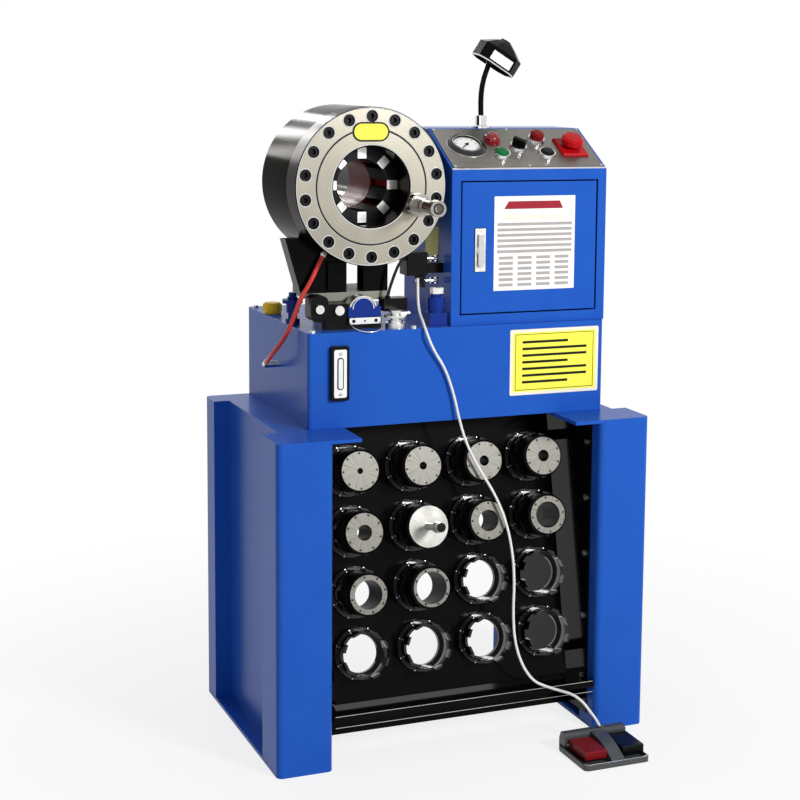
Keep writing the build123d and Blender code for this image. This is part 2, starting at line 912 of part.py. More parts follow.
def electrics():
    """The mounting plate on the cabinet's back wall, with rails and switchgear."""
    back = cabinet_rear - cabinet_sheet
    face = back - gear_stand - gear_plate_thickness
    x0, x1, z0, z1 = gear_plate
    pieces = [box(x0, x1, face, back - gear_stand, z0, z1)]
    columns, rows = gear_posts
    for x in columns:
        for z in rows:
            pieces.append(rod((x, back - gear_stand, z), (x, back, z), 5))
    x0, x1, half = gear_rail
    rail_front = face - 8
    for z in gear_rails:
        pieces.append(box(x0, x1, rail_front, face, z - half, z + half))
    for x0, x1, deep, z in gear_devices:
        pieces.append(box(x0, x1, rail_front - deep, rail_front, z - gear_half, z + gear_half))
    write("electrics", group(pieces))


def control_place(place, rise=0):
    """A plane on the control panel's front, at a place on it."""
    return slope_plane() * Plane(origin=(place[0], place[1], panel_plate + rise))


def control_panel():
    """The steel plate on the slope, with a hole for each control."""
    width = cabinet_right - cabinet_left - 2 * panel_edge
    height = slope_length() - 2 * panel_edge
    slope = slope_plane()
    plate = slope * Pos(panel_edge + width / 2, panel_edge + height / 2, panel_plate / 2) * Box(
        width, height, panel_plate)
    for place, radius in control_openings():
        plate -= slope * Pos(*place, 0) * Cylinder(radius, 6 * panel_plate)
    write("control_panel", plate)


def pressure_gauge():
    """The gauge: a flanged case with a dial inside its rim, and a needle on a pin."""
    place = control_place(gauge_place)
    rim = gauge_flange / 2
    body = gauge_body / 2
    case = turned(place, [
        (0, -30), (body, -30), (body, 0), (rim, 0), (rim, 3), (body + 6, gauge_rise),
        (body, gauge_rise), (body, 3), (1.5, 3), (1.5, 5), (0, 5)])
    write("gauge_case", case)
    hub = Pos(0, 0, 5.2) * Cylinder(4, 1.6, align=LOW)
    needle = Pos(needle_length / 2 - 4, 0, 6) * Box(needle_length + 8, 2, 0.8)
    write("gauge_needle", place * Rot(0, 0, needle_rest) * (hub + needle))


def bezels():
    """Chrome bezels round the buttons and the selector, each with its body below."""
    inner = button_diameter / 2 + button_fit
    outer = bezel_diameter / 2
    below = control_hole / 2
    rings = []
    for place in (green_place, selector_place, red_place, black_place):
        rings.append(turned(control_place(place), [
            (below - 2, -14), (below, -14), (below, 0), (outer, 0), (outer - 2, bezel_rise),
            (inner, bezel_rise), (inner, 3), (below - 2, 3)]))
    write("button_bezels", group(rings))


def push_button(name, place, rise=button_rise):
    """A push button: a domed cap on a stem that slides in its bezel."""
    seat = control_place(place)
    cap = button_diameter / 2
    stem = control_hole / 2 - 2 - turning_fit
    bottom = 3 + button_travel + 0.5
    write(name, turned(seat, [
        (0, -18), (stem, -18), (stem, bottom), (cap, bottom), (cap, rise - 4),
        (cap - 5, rise), (0, rise + 1)]))


def selector():
    """The selector: a round base with a raised grip across it."""
    seat = control_place(selector_place)
    base = button_diameter / 2
    stem = control_hole / 2 - 2 - turning_fit
    knob = turned(seat, [(0, -12), (stem, -12), (stem, 4), (base, 4), (base, 12), (0, 12)])
    grip = seat * Rot(0, 0, 90 - selector_angle) * Pos(0, 0, 19) * Box(10, 32, 14)
    write("selector_knob", knob + grip)


def pilot_lamp():
    """The pilot lamp's dome."""
    seat = control_place(pilot_place)
    radius = 18
    base = turned(seat, [(0, -12), (control_hole / 2, -12), (control_hole / 2, 0),
                         (radius + 3, 0), (radius + 3, 4), (0, 4)])
    dome = seat * Pos(0, 0, 4) * (Sphere(radius) & Pos(0, 0, radius / 2) * Box(
        4 * radius, 4 * radius, radius))
    write("pilot_lamp", base + dome)


def emergency_stop():
    """The stop button's square collar and its mushroom head."""
    seat = control_place(stop_place)
    width, height = stop_base
    collar = Box(width, height, stop_base_rise, align=LOW)
    collar = chamfer(collar.faces().sort_by(Axis.Z)[-1].edges(), 3)
    write("stop_collar", seat * (collar - Cylinder(stop_neck + turning_fit, 40)))
    lift = stop_base_rise + stop_travel + 1
    radius = stop_head_diameter / 2
    stem = control_hole / 2 - 0.5
    step = stop_travel + 0.5
    top = lift + stop_head
    write("stop_button", turned(seat, [
        (0, -12), (stem, -12), (stem, step), (stop_neck, step), (stop_neck, lift),
        (radius - 4, lift), (radius, lift + 5), (radius, top - 5), (radius - 6, top),
        (0, top + 1)]))


def lamp_arm_points():
    """The neck's line, from its sleeve to the shade."""
    base = cabinet_top + lamp_sleeve_height + moving_gap
    return [(lamp_x, lamp_y, base), (lamp_x - 0.4, lamp_y, base + 40),
            (lamp_x + 6, lamp_y, base + 86), (lamp_x + 20.5, lamp_y, base + 128)]


def lamp():
    """The lamp: a flanged sleeve, a bent neck, and a faceted shade."""
    base = Plane(origin=(lamp_x, lamp_y, cabinet_top))
    write("lamp_base", turned(base, [
        (0, 0), (lamp_flange / 2, 0), (lamp_flange / 2, 4), (lamp_sleeve / 2, 7),
        (lamp_sleeve / 2, lamp_sleeve_height), (0, lamp_sleeve_height)]))
    points = lamp_arm_points()
    path = Spline(*points, tangents=((0, 0, 1), (0.34, 0, 0.94)))
    start = Plane(origin=points[0], z_dir=path % 0)
    neck = sweep(start * Circle(neck_diameter / 2), path=path)
    write("lamp_neck", neck + Pos(*points[-1]) * Sphere(lamp_ball))
    write("lamp_shade", lamp_shade())


def shade_plane():
    """The shade's rim: X along the rim, Z out of the shade's back."""
    x, y, z = lamp_arm_points()[-1]
    tilt = radians(shade_tilt)
    nod = radians(shade_nod)
    along = Vector(cos(tilt), 0, -sin(tilt))
    out = Vector(sin(tilt) * cos(nod), -sin(nod), cos(tilt) * cos(nod))
    across, up = shade_joint
    origin = Vector(x, y, z) - along * across - out * up
    return Plane(origin=origin, x_dir=along, z_dir=out)


def shade_form(inset):
    """The shade's faceted form, drawn in by a wall."""
    width = shade_width - 2 * inset
    depth = shade_depth - 2 * inset
    corner = 20
    face = Rectangle(width, depth)
    face = chamfer(face.vertices(), corner)
    side = extrude(face, shade_side)
    form = side
    below = Pos(0, 0, shade_side) * face
    for share, height in ((0.56, 57), (0.16, shade_height)):
        above = chamfer(Rectangle(width * share, depth * share).vertices(), corner * share)
        above = Pos(0, 0, height - inset) * above
        form += loft([below, above])
        below = above
    return form


def lamp_shade():
    """The shade: faceted, hollow, and open underneath."""
    shell = shade_form(0) - Pos(0, 0, -0.01) * shade_form(shade_wall)
    across, up = shade_joint
    socket = Sphere(lamp_ball + 3) - Sphere(lamp_ball + moving_gap)
    socket &= Pos(0, 0, 1) * Cylinder(2 * lamp_ball, 2 * lamp_ball, align=LOW)
    strut = Pos(across, 0, up + lamp_ball + 1) * Cylinder(
        4, shade_height - up - lamp_ball - 2, align=LOW)
    return shade_plane() * (shell + Pos(across, 0, up) * socket + strut)


def motor_pump():
    """The motor on the lid, its terminal box, and the pump that hangs in the oil."""
    radius = motor_diameter / 2
    base = Plane(origin=(motor_x, motor_y, tank_top))
    body = stepped(base, ((radius + 5, 12), (radius - 8, motor_length)))
    for number in range(motor_fins):
        fin = Pos(motor_x, motor_y, tank_top + 12 + motor_length / 2) * Rot(
            0, 0, number * 360 / motor_fins) * Pos(radius - 5, 0, 0) * Box(10, 3, motor_length - 20)
        body += fin
    body -= rod((motor_x, motor_y, tank_top + motor_length - 30),
                (motor_x, motor_y, tank_top + motor_length + 20), shaft_diameter / 2 + turning_fit)
    top = tank_top + 12 + motor_length
    cover = turned(Plane(origin=(motor_x, motor_y, top)), [
        (radius - 8, 0), (radius - 2, 0), (radius - 2, fan_cover), (18, fan_cover),
        (18, fan_cover - 3), (radius - 5, fan_cover - 3), (radius - 5, 3), (radius - 8, 3)])
    terminal = box(motor_x + radius - 12, motor_x + radius + 34, motor_y - 45, motor_y + 45,
                   tank_top + 80, tank_top + 170)
    pump = stepped(Plane(origin=(motor_x, motor_y, tank_bottom + pump_floor_gap)), (
        (30, 30), (pump_radius - 10, 50), (pump_radius, tank_height - pump_floor_gap - 80)))
    terminal -= body
    write("motor_pump", group([body, cover, terminal, pump]))
    fan_base = Plane(origin=(motor_x, motor_y, top + 8))
    hub = stepped(fan_base, ((20, 34),))
    blades = hub
    for number in range(6):
        blades += fan_base * Rot(0, 0, 60 * number) * Pos(38, 0, 17) * Box(44, 3, 30)
    shaft = rod((motor_x, motor_y, tank_top + motor_length - 28), (motor_x, motor_y, top + 10),
                shaft_diameter / 2)
    write("motor_fan", blades + shaft)


def solenoid_valve():
    """The solenoid valve on the manifold: its blue coil, and the steel band round it."""
    low = tank_top + valve_low
    front_y = valve_front
    back_y = valve_front + valve_depth
    axis_z = low + solenoid_axis
    seat = low + solenoid_seat
    body = box(solenoid_left, solenoid_right, front_y, back_y, low, seat)
    coil = rod((solenoid_x, front_y, axis_z), (solenoid_x, back_y, axis_z), solenoid_radius)
    under = box(solenoid_left, solenoid_right, front_y - 1, back_y + 1, tank_top, low)
    inner = solenoid_radius + turning_fit
    band = turned(along_y(solenoid_x, front_y, axis_z), [
        (inner, 0), (inner + yoke, 0), (inner + yoke, yoke_length), (inner, yoke_length)])
    reach = 2 * solenoid_radius
    band &= box(solenoid_x - reach, solenoid_x + reach, front_y, back_y, seat, seat + reach)
    return body + coil - under, band


def return_valve():
    """The return valve beside the cabinet: its block and coil, and the plug on top."""
    half = return_valve_width / 2
    deep = return_block / 2
    x, y = return_valve_x, return_valve_y
    seat = tank_top + return_block_height
    block = box(x - half, x + half, y - deep, y + deep, tank_top, seat)
    block += stepped(Plane(origin=(x, y, seat)), return_steps)
    plug_z = tank_top + plug_low
    plug = box(x - 11, x + 15, y - 11, y + 9, plug_z, plug_z + plug_height)
    return block, plug


def hose_fittings():
    """The fitting where the drain hose leaves the head, and its elbow on the tank."""
    head = rod((head_x, head_front, head_z), (head_x, head_rear, head_z), head_diameter / 2)
    first, second = Vector(*drain_hose_route[0]), Vector(*drain_hose_route[1])
    fitting = rod(first, first + (first - second).normalized() * 25, hose_fitting) - head
    last, before = Vector(*drain_hose_route[-1]), Vector(*drain_hose_route[-2])
    bend = last + (last - before).normalized() * 18
    elbow = rod(last, bend, hose_fitting) + Pos(bend) * Sphere(hose_fitting)
    elbow += rod(bend, (tank_left, bend.Y, bend.Z), hose_fitting)
    return [fitting, elbow]


def valve_group():
    """The valves along the tank's front: manifold, coils, fittings and relief valve."""
    low = tank_top + valve_low
    front_y = valve_front
    back_y = valve_front + valve_depth
    stack = stepped(Plane(origin=(relief_x, front_y, tank_top)), relief_steps)
    lever_z = tank_top + relief_lever_height
    stack += rod((relief_x, front_y, lever_z),
                 (relief_x + relief_lever_reach, front_y, lever_z), relief_lever)
    core_x, core_z = black_coil_core
    sleeve = stepped(along_y(core_x, front_y - 8, core_z), ((core_radius, 10),))
    port_x, port_z = manifold_port
    port = stepped(along_y(port_x, front_y - 8, low + port_z), ((port_radius, port_length),))
    middle = (solenoid_left + solenoid_right) / 2
    arc = ThreePointArc((middle - bail_half, front_y + 8, bail_ends),
                        (middle, tank_front - 9, bail_low),
                        (middle + bail_half, front_y + 8, bail_ends))
    bail = sweep(Plane(origin=arc @ 0, z_dir=arc % 0) * Circle(bail_wire), path=arc)
    manifold = box(manifold_left, manifold_right, front_y + 8, back_y, tank_top, low)
    bail -= manifold
    blue_coil, band = solenoid_valve()
    blue_valve, plug = return_valve()
    write("valve_block", group([stack, sleeve, port, bail, band, plug, *hose_fittings()]))
    x0, x1, height = manifold_block
    manifold += box(x0, x1, front_y + 4, back_y, low, low + height)
    x0, x1, z0, z1 = black_coil_box
    coil = box(x0, x1, front_y + 2, back_y, z0, z1)
    coil = fillet(coil.edges().filter_by(Axis.Y), black_coil_corner)
    x0, x1, y0, z0, z1 = junction_box
    junction = box(x0, x1, y0, base_plate_front, z0, z1)
    last, before = Vector(*switch_cable_route[-1]), Vector(*switch_cable_route[-2])
    junction += rod(last, last + (last - before).normalized() * 10, 6)
    write("black_coil", group([manifold + coil, junction]))
    tower = stepped(Plane(origin=(*tower_place, tank_top)), tower_steps)
    write("blue_coils", group([blue_coil, blue_valve, tower]))


def limit_switch():
    """The limit switch, held off the cabinet, and the rods that set opening and closing."""
    left, right, front_y, back_y, low, high = switch_box
    rod_y = back_y - rod_behind
    toe_front = rod_y - toe_depth / 2
    toe_back = rod_y + toe_depth / 2
    toe_left, toe_low = switch_toe
    arm_low, arm_high = switch_arm
    case = box(left, right, front_y, back_y, low, high)
    case = fillet(case.edges().filter_by(Axis.Z), 3)
    case += box(toe_left, right, toe_front, toe_back, toe_low, low)
    case += box(right - 4, cabinet_left, toe_front, toe_back, arm_low, arm_high)
    cord_x, cord_y, cord_z = switch_cord_start
    case += rod(switch_cord_start, (cord_x, cord_y, low), cord_gland)
    first, second = Vector(*switch_cable_route[0]), Vector(*switch_cable_route[1])
    case += rod(first, first + (first - second).normalized() * cable_gland_length, cable_gland)
    discs = sum(thickness for radius, thickness in rod_discs)
    rods = []
    for z, start in zip(rod_heights, rod_starts):
        case -= rod((start - 12, rod_y, z), (rod_end + 12, rod_y, z), rod_radius + turning_fit)
        place = Plane(origin=(start, rod_y, z), x_dir=(0, 1, 0), z_dir=(1, 0, 0))
        plain = rod_end - start - discs
        rods.append(stepped(place, ((rod_radius, plain), *rod_discs)))
    write("limit_switch", case)
    write("setting_rods", group(rods))


def foot_pedal():
    """The pedal's cast base, its rib and housing, with the hinge pin of both treads."""
    plate = box(pedal_left, pedal_right, pedal_front, pedal_rear, 0, pedal_rim)
    plate = fillet(plate.edges().filter_by(Axis.Z), pedal_corner)
    wall = pedal_wall
    plate -= box(pedal_left + wall, pedal_right - wall, pedal_front + wall,
                 pedal_rear - wall, pedal_base, pedal_rim + 1)
    last, before = Vector(*pedal_cord_route[-1]), Vector(*pedal_cord_route[-2])
    gland = rod(last, last + (last - before).normalized() * pedal_gland_length, pedal_gland)
    side = Plane(origin=(pedal_left + 4, 0, 0), x_dir=(0, 1, 0), z_dir=(1, 0, 0))
    house_front = pedal_rear - pedal_housing
    housing = prism([(pedal_rear, 0), (pedal_rear, 30), (pedal_rear - 8, pedal_height),
                     (house_front + 6, pedal_height), (house_front, pedal_height - 6),
                     (house_front, 0)], side, pedal_right - pedal_left - 8)
    tread_left = pedal_left + pedal_tread_left
    tread_right = pedal_right - 5 - pedal_tread
    pin_y = house_front - pedal_pin_setback
    pin_z = pedal_pin_z
    rib_x0 = tread_left + pedal_tread + 4
    rib_x1 = tread_right - 4
    rib_side = Plane(origin=(rib_x0, 0, 0), x_dir=(0, 1, 0), z_dir=(1, 0, 0))
    middle = (house_front + pedal_front) / 2
    curve = Spline((house_front + 1, pedal_height - 2), (middle, pedal_rib_middle),
                   (pedal_front + 6, pedal_rim))
    rib_line = Polyline((pedal_front + 6, pedal_rim), (pedal_front + 6, pedal_base),
                        (house_front + 1, pedal_base), (house_front + 1, pedal_height - 2))
    rib = extrude(rib_side * make_face(Curve() + [curve, rib_line]), amount=rib_x1 - rib_x0,
                  dir=(1, 0, 0))
    pin = rod((pedal_left + 5, pin_y, pin_z), (pedal_right - 5, pin_y, pin_z), pedal_pin / 2)
    write("pedal_base", plate + housing + rib + pin + gland)
    for name, x in (("red_pedal", tread_left), ("black_pedal", tread_right)):
        tread = box(x, x + pedal_tread, pedal_front + pedal_tread_front, pin_y + 7,
                    pedal_tread_low, pedal_tread_low + pedal_tread_height)
        tread = fillet(tread.edges().filter_by(Axis.X).sort_by(Axis.Y)[:2], 2.5)
        tread -= rod((x - 1, pin_y, pin_z), (x + pedal_tread + 1, pin_y, pin_z),
                     pedal_pin / 2 + turning_fit)
        write(name, tread)


def cord(points, diameter):
    """A cord: straight runs, joined by arcs as large as the runs allow."""
    corners = [Vector(*point) for point in points]
    radii = []
    for before, here, after in zip(corners, corners[1:], corners[2:]):
        turn = radians((here - before).get_angle(after - here))
        shorter = min((here - before).length, (after - here).length)
        radii.append(0.45 * shorter / tan(turn / 2))
    path = FilletPolyline(*corners, radius=radii)
    section = Plane(origin=corners[0], z_dir=corners[1] - corners[0]) * Circle(diameter / 2)
    tube = sweep(section, path=path)
    share = tube.volume / (section.area * path.length)
    print("length", round(path.length), "volume share", round(share, 4))
    print("radii", [round(radius) for radius in radii])
    return tube


pedal_cord_route = (
    switch_cord_start, (-66, -128, 1056), (-69, -143, 1016), (-72, -178, 995),
    (-69, -200, 967), (-53, -196, 932), (-20, -192, 884), (2, -193, 820),
    (13, -198, 764), (28, -209, 705), (57, -222, 645), (92, -236, 585),
    (116, -247, 520), (129, -256, 450), (131, -265, 380), (124, -274, 310),
    (125, -284, 240), (140, -294, 185), (165, -303, 146), (193, -312, 132),
    (220, -332, 125), (243, -356, 121), (260, -376, 108), (274, -387, 86),
    (287, -392, 68), pedal_cord_end,
)
drain_hose_route = (
    hose_start, (-301, -107, 1129), (-319, -108, 1092), (-345, -108, 1050),
    (-356, -97, 1008), (-366, -72, 965), (-378, -38, 929), (-386, -8, 904),
    hose_end,
)
switch_cable_route = (
    (-102, -128, 1138), (-113, -129, 1126), (-122, -128, 1106), (-129, -125, 1084),
    (-134, -121, 1065), (-136, -118, 1050),
)


def free_cords():
    """The pedal's cord, the drain hose and the switch cables."""
    write("pedal_cord", cord(pedal_cord_route, cord_diameter))
    write("drain_hose", cord(drain_hose_route, hose_diameter))
    write("switch_cable", cord(switch_cable_route, cable_diameter))


def bolt_head(place):
    """A hexagon bolt head on a plane."""
    return extrude(place * RegularPolygon(bolt_head_width / 2, 6), amount=bolt_head_height,
                   dir=place.z_dir)


def fasteners():
    """Screws on the stand, the lid and the control panel."""
    screws = []
    for side in (-1, 1):
        inner = side * (leg_inner - rack_sheet)
        for z in (120, 270, 424, 561, 697):
            for y in (front + leg_lip - 18, rear - leg_lip + 18):
                screws.append(bolt_head(Plane(origin=(inner, y, z), z_dir=(-side, 0, 0))))
    inset = 16
    lid_places = [(tank_left + inset, tank_front + inset), (-90, tank_front + inset)]
    lid_places += [(x, tank_rear - inset) for x in (tank_left + inset, 20, tank_right - inset)]
    for x, y in lid_places:
        screws.append(bolt_head(Plane(origin=(x, y, tank_top))))
    slope = slope_plane()
    for x in (panel_edge + 5, (cabinet_right - cabinet_left) / 2, cabinet_right - panel_edge - 5):
        for up in (panel_edge + 4, slope_length() - panel_edge - 5):
            screws.append(slope * Pos(x, up, panel_plate) * Cylinder(3, 2, align=LOW))
    write("fasteners", group(screws))


def main():
    """Makes every piece and writes it."""
    os.makedirs("parts", exist_ok=True)
    stand_legs()
    rack_frame()
    die_rack_panel()
    die_cups()
    stored_die_sets()
    die_tool()
    oil_tank()
    filler_cap()
    level_gauge()
    head_cover_plate()
    head_cover_screws()
    head_cylinder()
    bore_liner()
    rear_hose_guide()
    piston()
    die_shoes()
    head_handle()
    head_saddle()
    head_base_plate()
    cabinet_shell()
    cabinet_door()
    door_latch()
    electrics()
    control_panel()
    pressure_gauge()
    bezels()
    push_button("green_button", green_place)
    push_button("black_button", black_place)
    push_button("red_button", red_place, red_button_rise)
    selector()
    pilot_lamp()
    emergency_stop()
    lamp()
    motor_pump()
    valve_group()
    limit_switch()
    foot_pedal()
    free_cords()
    fasteners()


main()
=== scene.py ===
"""How the hose crimping machine looks: finishes, trim, cords, light and camera.

Metres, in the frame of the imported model: +Z up, -Y towards the operator.
"""

from math import cos, radians, sin

import bmesh
import bpy
from mathutils import Matrix, Vector


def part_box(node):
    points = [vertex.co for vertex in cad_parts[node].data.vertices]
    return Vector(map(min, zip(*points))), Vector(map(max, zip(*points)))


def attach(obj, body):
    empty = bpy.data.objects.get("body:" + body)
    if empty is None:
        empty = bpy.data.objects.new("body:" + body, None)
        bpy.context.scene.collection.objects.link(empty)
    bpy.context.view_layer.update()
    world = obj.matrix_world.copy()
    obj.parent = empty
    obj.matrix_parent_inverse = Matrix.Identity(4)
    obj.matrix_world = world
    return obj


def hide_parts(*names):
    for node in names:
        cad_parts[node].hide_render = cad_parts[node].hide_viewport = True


MM = 0.001
X_ACROSS = Vector((1, 0, 0))
Z_UP = Vector((0, 0, 1))
FRONT_OUT = Vector((0, -1, 0))

# The camera, fitted to the photograph: its place, its turns in degrees, and its lens in
# pixels of an 800 px frame
FRAME_PX = 800
CAMERA_PLACE = (-1.5337, -3.8483, 1.5629)
CAMERA_YAW = -23.582
CAMERA_PITCH = -7.331
CAMERA_ROLL = 0.741
LENS_PX = 1728.66
LENS_CENTRE_PX = (479.01, 296.73)
SENSOR_MM = 36

# The crimping head: its axis and face, and the cover's rim, screws, joint line and bore
HEAD_X = -0.200
HEAD_Z = 1.308
HEAD_FRONT = -0.182
COVER_RIM = 0.1765
SCREWS = 18
SCREW_CIRCLE = 0.159
SCREW_HOLE = 0.0135
COVER_JOINT = 0.131
COVER_BORE = 0.091
HANDLE_X = -0.100
HANDLE_Z = 1.268

# The bright plates that paint the light seen in the gaps between the master dies: how many, how
# far from the axis, and their size
SHOES = 8
DIE_PLATE_OUT = 0.0735
DIE_PLATE_SIZE = (0.021, 0.025)

# The fronts of the cabinet, the tank and the valves on its lid, and the solenoid on them
CABINET_FRONT = -0.172
TANK_FRONT = -0.182
VALVE_FRONT = -0.148
SOLENOID_PLATE_Z = 0.9995
COIL_CENTRE = (-0.207, 1.027)
COIL_RADIUS = 0.031

# The sloping control panel: its lower left corner, the directions up and off it, its width,
# its plate's thickness, and the gauge's place and size on it
SLOPE_ORIGIN = Vector((0, -0.172, 1.344))
SLOPE_UP = Vector((0, 0.86618, 0.49972))
SLOPE_OUT = Vector((0, -0.49972, 0.86618))
PANEL_WIDTH = 0.400
PANEL_PLATE = 0.002
GAUGE_PLACE = (0.071, 0.098)
GAUGE_RADIUS = 0.033

# The rack's tilted panel, its cups, and the die sets in them, counted from the top left
PANEL_TILT = radians(12.5)
PANEL_OUT = Vector((0, -cos(PANEL_TILT), sin(PANEL_TILT)))
PANEL_UP = Vector((0, sin(PANEL_TILT), cos(PANEL_TILT)))
CUPS = 16
CUP_COLUMNS = 4
CUP_PITCH = 0.1545
CUP_ROW_PITCH = 0.1405
CUP_TOP_ROW = (-0.1035, 0.6397)
CUP_FLANGE = 0.008
CUP_SCREW_CIRCLE = 0.0592
DIE_SETS = 10
DIE_SEGMENTS = 8
DIE_FRONT = 0.100
DIE_HOLE_CIRCLE = 0.0405
TOOL_DIE = 5
TOOL_TOP = 0.186

# The lamp's shade: its joint with the neck, the joint's place in the rim's plane, its tilts,
# and its rim's half sizes and cut corners
SHADE_JOINT = Vector((0.1705, 0.012, 1.5923))
SHADE_OFFSET = (-0.011, 0.0035)
SHADE_TILT = radians(31)
SHADE_NOD = radians(6)
SHADE_HALF = (0.052, 0.044)
SHADE_CORNER = 0.020

# The die tray's front lip: its width and front, and the heights of its two edges, where
# highlights are painted
TRAY_WIDTH = 0.648
TRAY_FRONT = -0.302
TRAY_EDGES = (0.1242, 0.0980)

# The pedal's base: its length from front to back, its rim's height, and its middle in y
PEDAL_LENGTH = 0.144
PEDAL_TOP = 0.013
PEDAL_MIDDLE = -0.448

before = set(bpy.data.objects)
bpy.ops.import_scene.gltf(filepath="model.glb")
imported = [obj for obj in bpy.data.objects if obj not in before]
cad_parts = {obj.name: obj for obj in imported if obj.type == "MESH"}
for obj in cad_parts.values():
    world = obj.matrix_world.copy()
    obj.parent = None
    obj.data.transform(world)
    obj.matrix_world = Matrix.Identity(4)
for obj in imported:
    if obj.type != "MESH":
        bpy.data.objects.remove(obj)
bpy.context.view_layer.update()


def linear(code):
    """An sRGB hex colour as linear RGBA."""
    values = []
    for place in (1, 3, 5):
        part = int(code[place:place + 2], 16) / 255
        values.append(part / 12.92 if part <= 0.04045 else ((part + 0.055) / 1.055) ** 2.4)
    return (*values, 1.0)


def grey(share):
    """A neutral grey, as linear RGBA."""
    return (share, share, share, 1.0)


def add(tree, kind, inputs=None, **settings):
    """Adds a node; inputs maps an input's name or number to an output or a plain value."""
    node = tree.nodes.new(kind)
    for key, value in settings.items():
        if key in node.inputs:
            node.inputs[key].default_value = value
        elif key.replace("_", " ") in node.inputs:
            node.inputs[key.replace("_", " ")].default_value = value
        else:
            setattr(node, key, value)
    for key, source in (inputs or {}).items():
        if isinstance(source, bpy.types.NodeSocket):
            tree.links.new(source, node.inputs[key])
        else:
            node.inputs[key].default_value = source
    return node


def new_finish(name, **values):
    """A new material, its node tree and its shader, with the shader's own values set."""
    material = bpy.data.materials.new(name)
    material.use_nodes = True
    tree = material.node_tree
    shader = tree.nodes["Principled BSDF"]
    for key, value in values.items():
        shader.inputs[key.replace("_", " ")].default_value = value
    return material, tree, shader


def surface_place(tree):
    """The point's place on the object, in metres."""
    return add(tree, "ShaderNodeTexCoord").outputs["Object"]


def drift(tree, low, high, patch_mm):
    """A pattern of patches of a real size, and a colour that follows it between two others."""
    pattern = add(tree, "ShaderNodeTexNoise", {"Vector": surface_place(tree)},
                  Scale=1000 / patch_mm, Detail=4.0).outputs["Fac"]
    colour = add(tree, "ShaderNodeMix",
                 {"Factor": pattern, "A": linear(low), "B": linear(high)},
                 data_type="RGBA").outputs["Result"]
    return pattern, colour


def mottle(tree, shader, low, high, patch_mm):
    """Gives the shader a drifting colour and returns the pattern it follows."""
    pattern, colour = drift(tree, low, high, patch_mm)
    tree.links.new(colour, shader.inputs["Base Color"])
    return pattern


def relief(tree, shader, height, depth_mm, strength=1.0, edge_mm=0.0):
    """Bumps of a real depth from a height of 0 to 1, on edges rounded by a real radius."""
    bump = add(tree, "ShaderNodeBump", {"Height": height}, Distance=depth_mm * MM,
               Strength=strength)
    if edge_mm:
        edge = add(tree, "ShaderNodeBevel", samples=4, Radius=edge_mm * MM)
        tree.links.new(edge.outputs["Normal"], bump.inputs["Normal"])
    tree.links.new(bump.outputs["Normal"], shader.inputs["Normal"])


def gloss_spread(tree, shader, pattern, low, high):
    """Roughness that drifts between two values with a pattern."""
    spread = add(tree, "ShaderNodeMapRange", {"Value": pattern}, To_Min=low, To_Max=high)
    tree.links.new(spread.outputs["Result"], shader.inputs["Roughness"])


def clouded(name, low, high, patch_mm, roughness, spread=None, **values):
    """A finish whose colour, and whose roughness where a spread is given, drift together."""
    material, tree, shader = new_finish(name, Roughness=roughness, **values)
    pattern = mottle(tree, shader, low, high, patch_mm)
    if spread:
        gloss_spread(tree, shader, pattern, *spread)
    return material


def enamel(name, low, high, roughness, peel_mm, edge_mm, gloss, ior=1.25):
    """Enamel sprayed on steel: even colour, a faint orange peel, and soft rounded edges."""
    material, tree, shader = new_finish(name, Roughness=roughness, IOR=ior,
                                        Specular_IOR_Level=gloss)
    mottle(tree, shader, low, high, 90)
    peel = add(tree, "ShaderNodeTexNoise", {"Vector": surface_place(tree)},
               Scale=1000 / peel_mm, Detail=2.0).outputs["Fac"]
    gloss_spread(tree, shader, peel, roughness - 0.03, roughness + 0.05)
    relief(tree, shader, peel, 0.03, edge_mm=edge_mm)
    return material


def red_enamel():
    """Red enamel on the liner tube, a little dulled by hoses."""
    return clouded("red_enamel", "#8f1a1a", "#ae2824", 40, 0.34, (0.22, 0.42), IOR=1.1)


def head_radius_mm(tree):
    """The distance from the head's axis, in millimetres."""
    centred = add(tree, "ShaderNodeVectorMath",
                  {0: surface_place(tree), 1: (HEAD_X, 0, HEAD_Z)}, operation="SUBTRACT")
    flat = add(tree, "ShaderNodeVectorMath", {0: centred.outputs[0], 1: (1000, 0, 1000)},
               operation="MULTIPLY")
    return add(tree, "ShaderNodeVectorMath", {0: flat.outputs[0]},
               operation="LENGTH").outputs["Value"]


def face_colour_and_painted_shade(tree, shader, face, direction, side):
    """The machined face's colour where the surface looks one way, and elsewhere a dark colour:
    painted shade on the sides and in the bores.
    """
    normal = add(tree, "ShaderNodeTexCoord").outputs["Normal"]
    look = add(tree, "ShaderNodeVectorMath", {0: normal, 1: direction},
               operation="DOT_PRODUCT")
    share = add(tree, "ShaderNodeMapRange", {"Value": look.outputs["Value"]}, From_Min=0.9,
                From_Max=0.97)
    colour = add(tree, "ShaderNodeMix",
                 {"Factor": share.outputs["Result"], "A": linear(side), "B": face},
                 data_type="RGBA")
    tree.links.new(colour.outputs["Result"], shader.inputs["Base Color"])


def turned_steel():
    """The cover: its face bright from the lathe, in fine rings, and its sides and bore painted
    dark as painted shade.
    """
    material, tree, shader = new_finish("turned_steel", Metallic=1.0, Roughness=0.28,
                                        Specular_Tint=grey(0.6))
    # The tool's feed is 0.2 mm; 2 mm rings show in the render
    rings = add(tree, "ShaderNodeTexNoise", {"W": head_radius_mm(tree)},
                noise_dimensions="1D", Scale=0.5, Detail=6.0, Roughness=0.7).outputs["Fac"]
    face = drift(tree, "#837f73", "#a6a295", 130)[1]
    # Every surface that doesn't face the operator is painted dark brown: painted shade on the rim
    # and in the bore
    face_colour_and_painted_shade(tree, shader, face, FRONT_OUT, "#1f1b17")
    gloss_spread(tree, shader, rings, 0.22, 0.34)
    relief(tree, shader, rings, 0.05, 0.35)
    return material


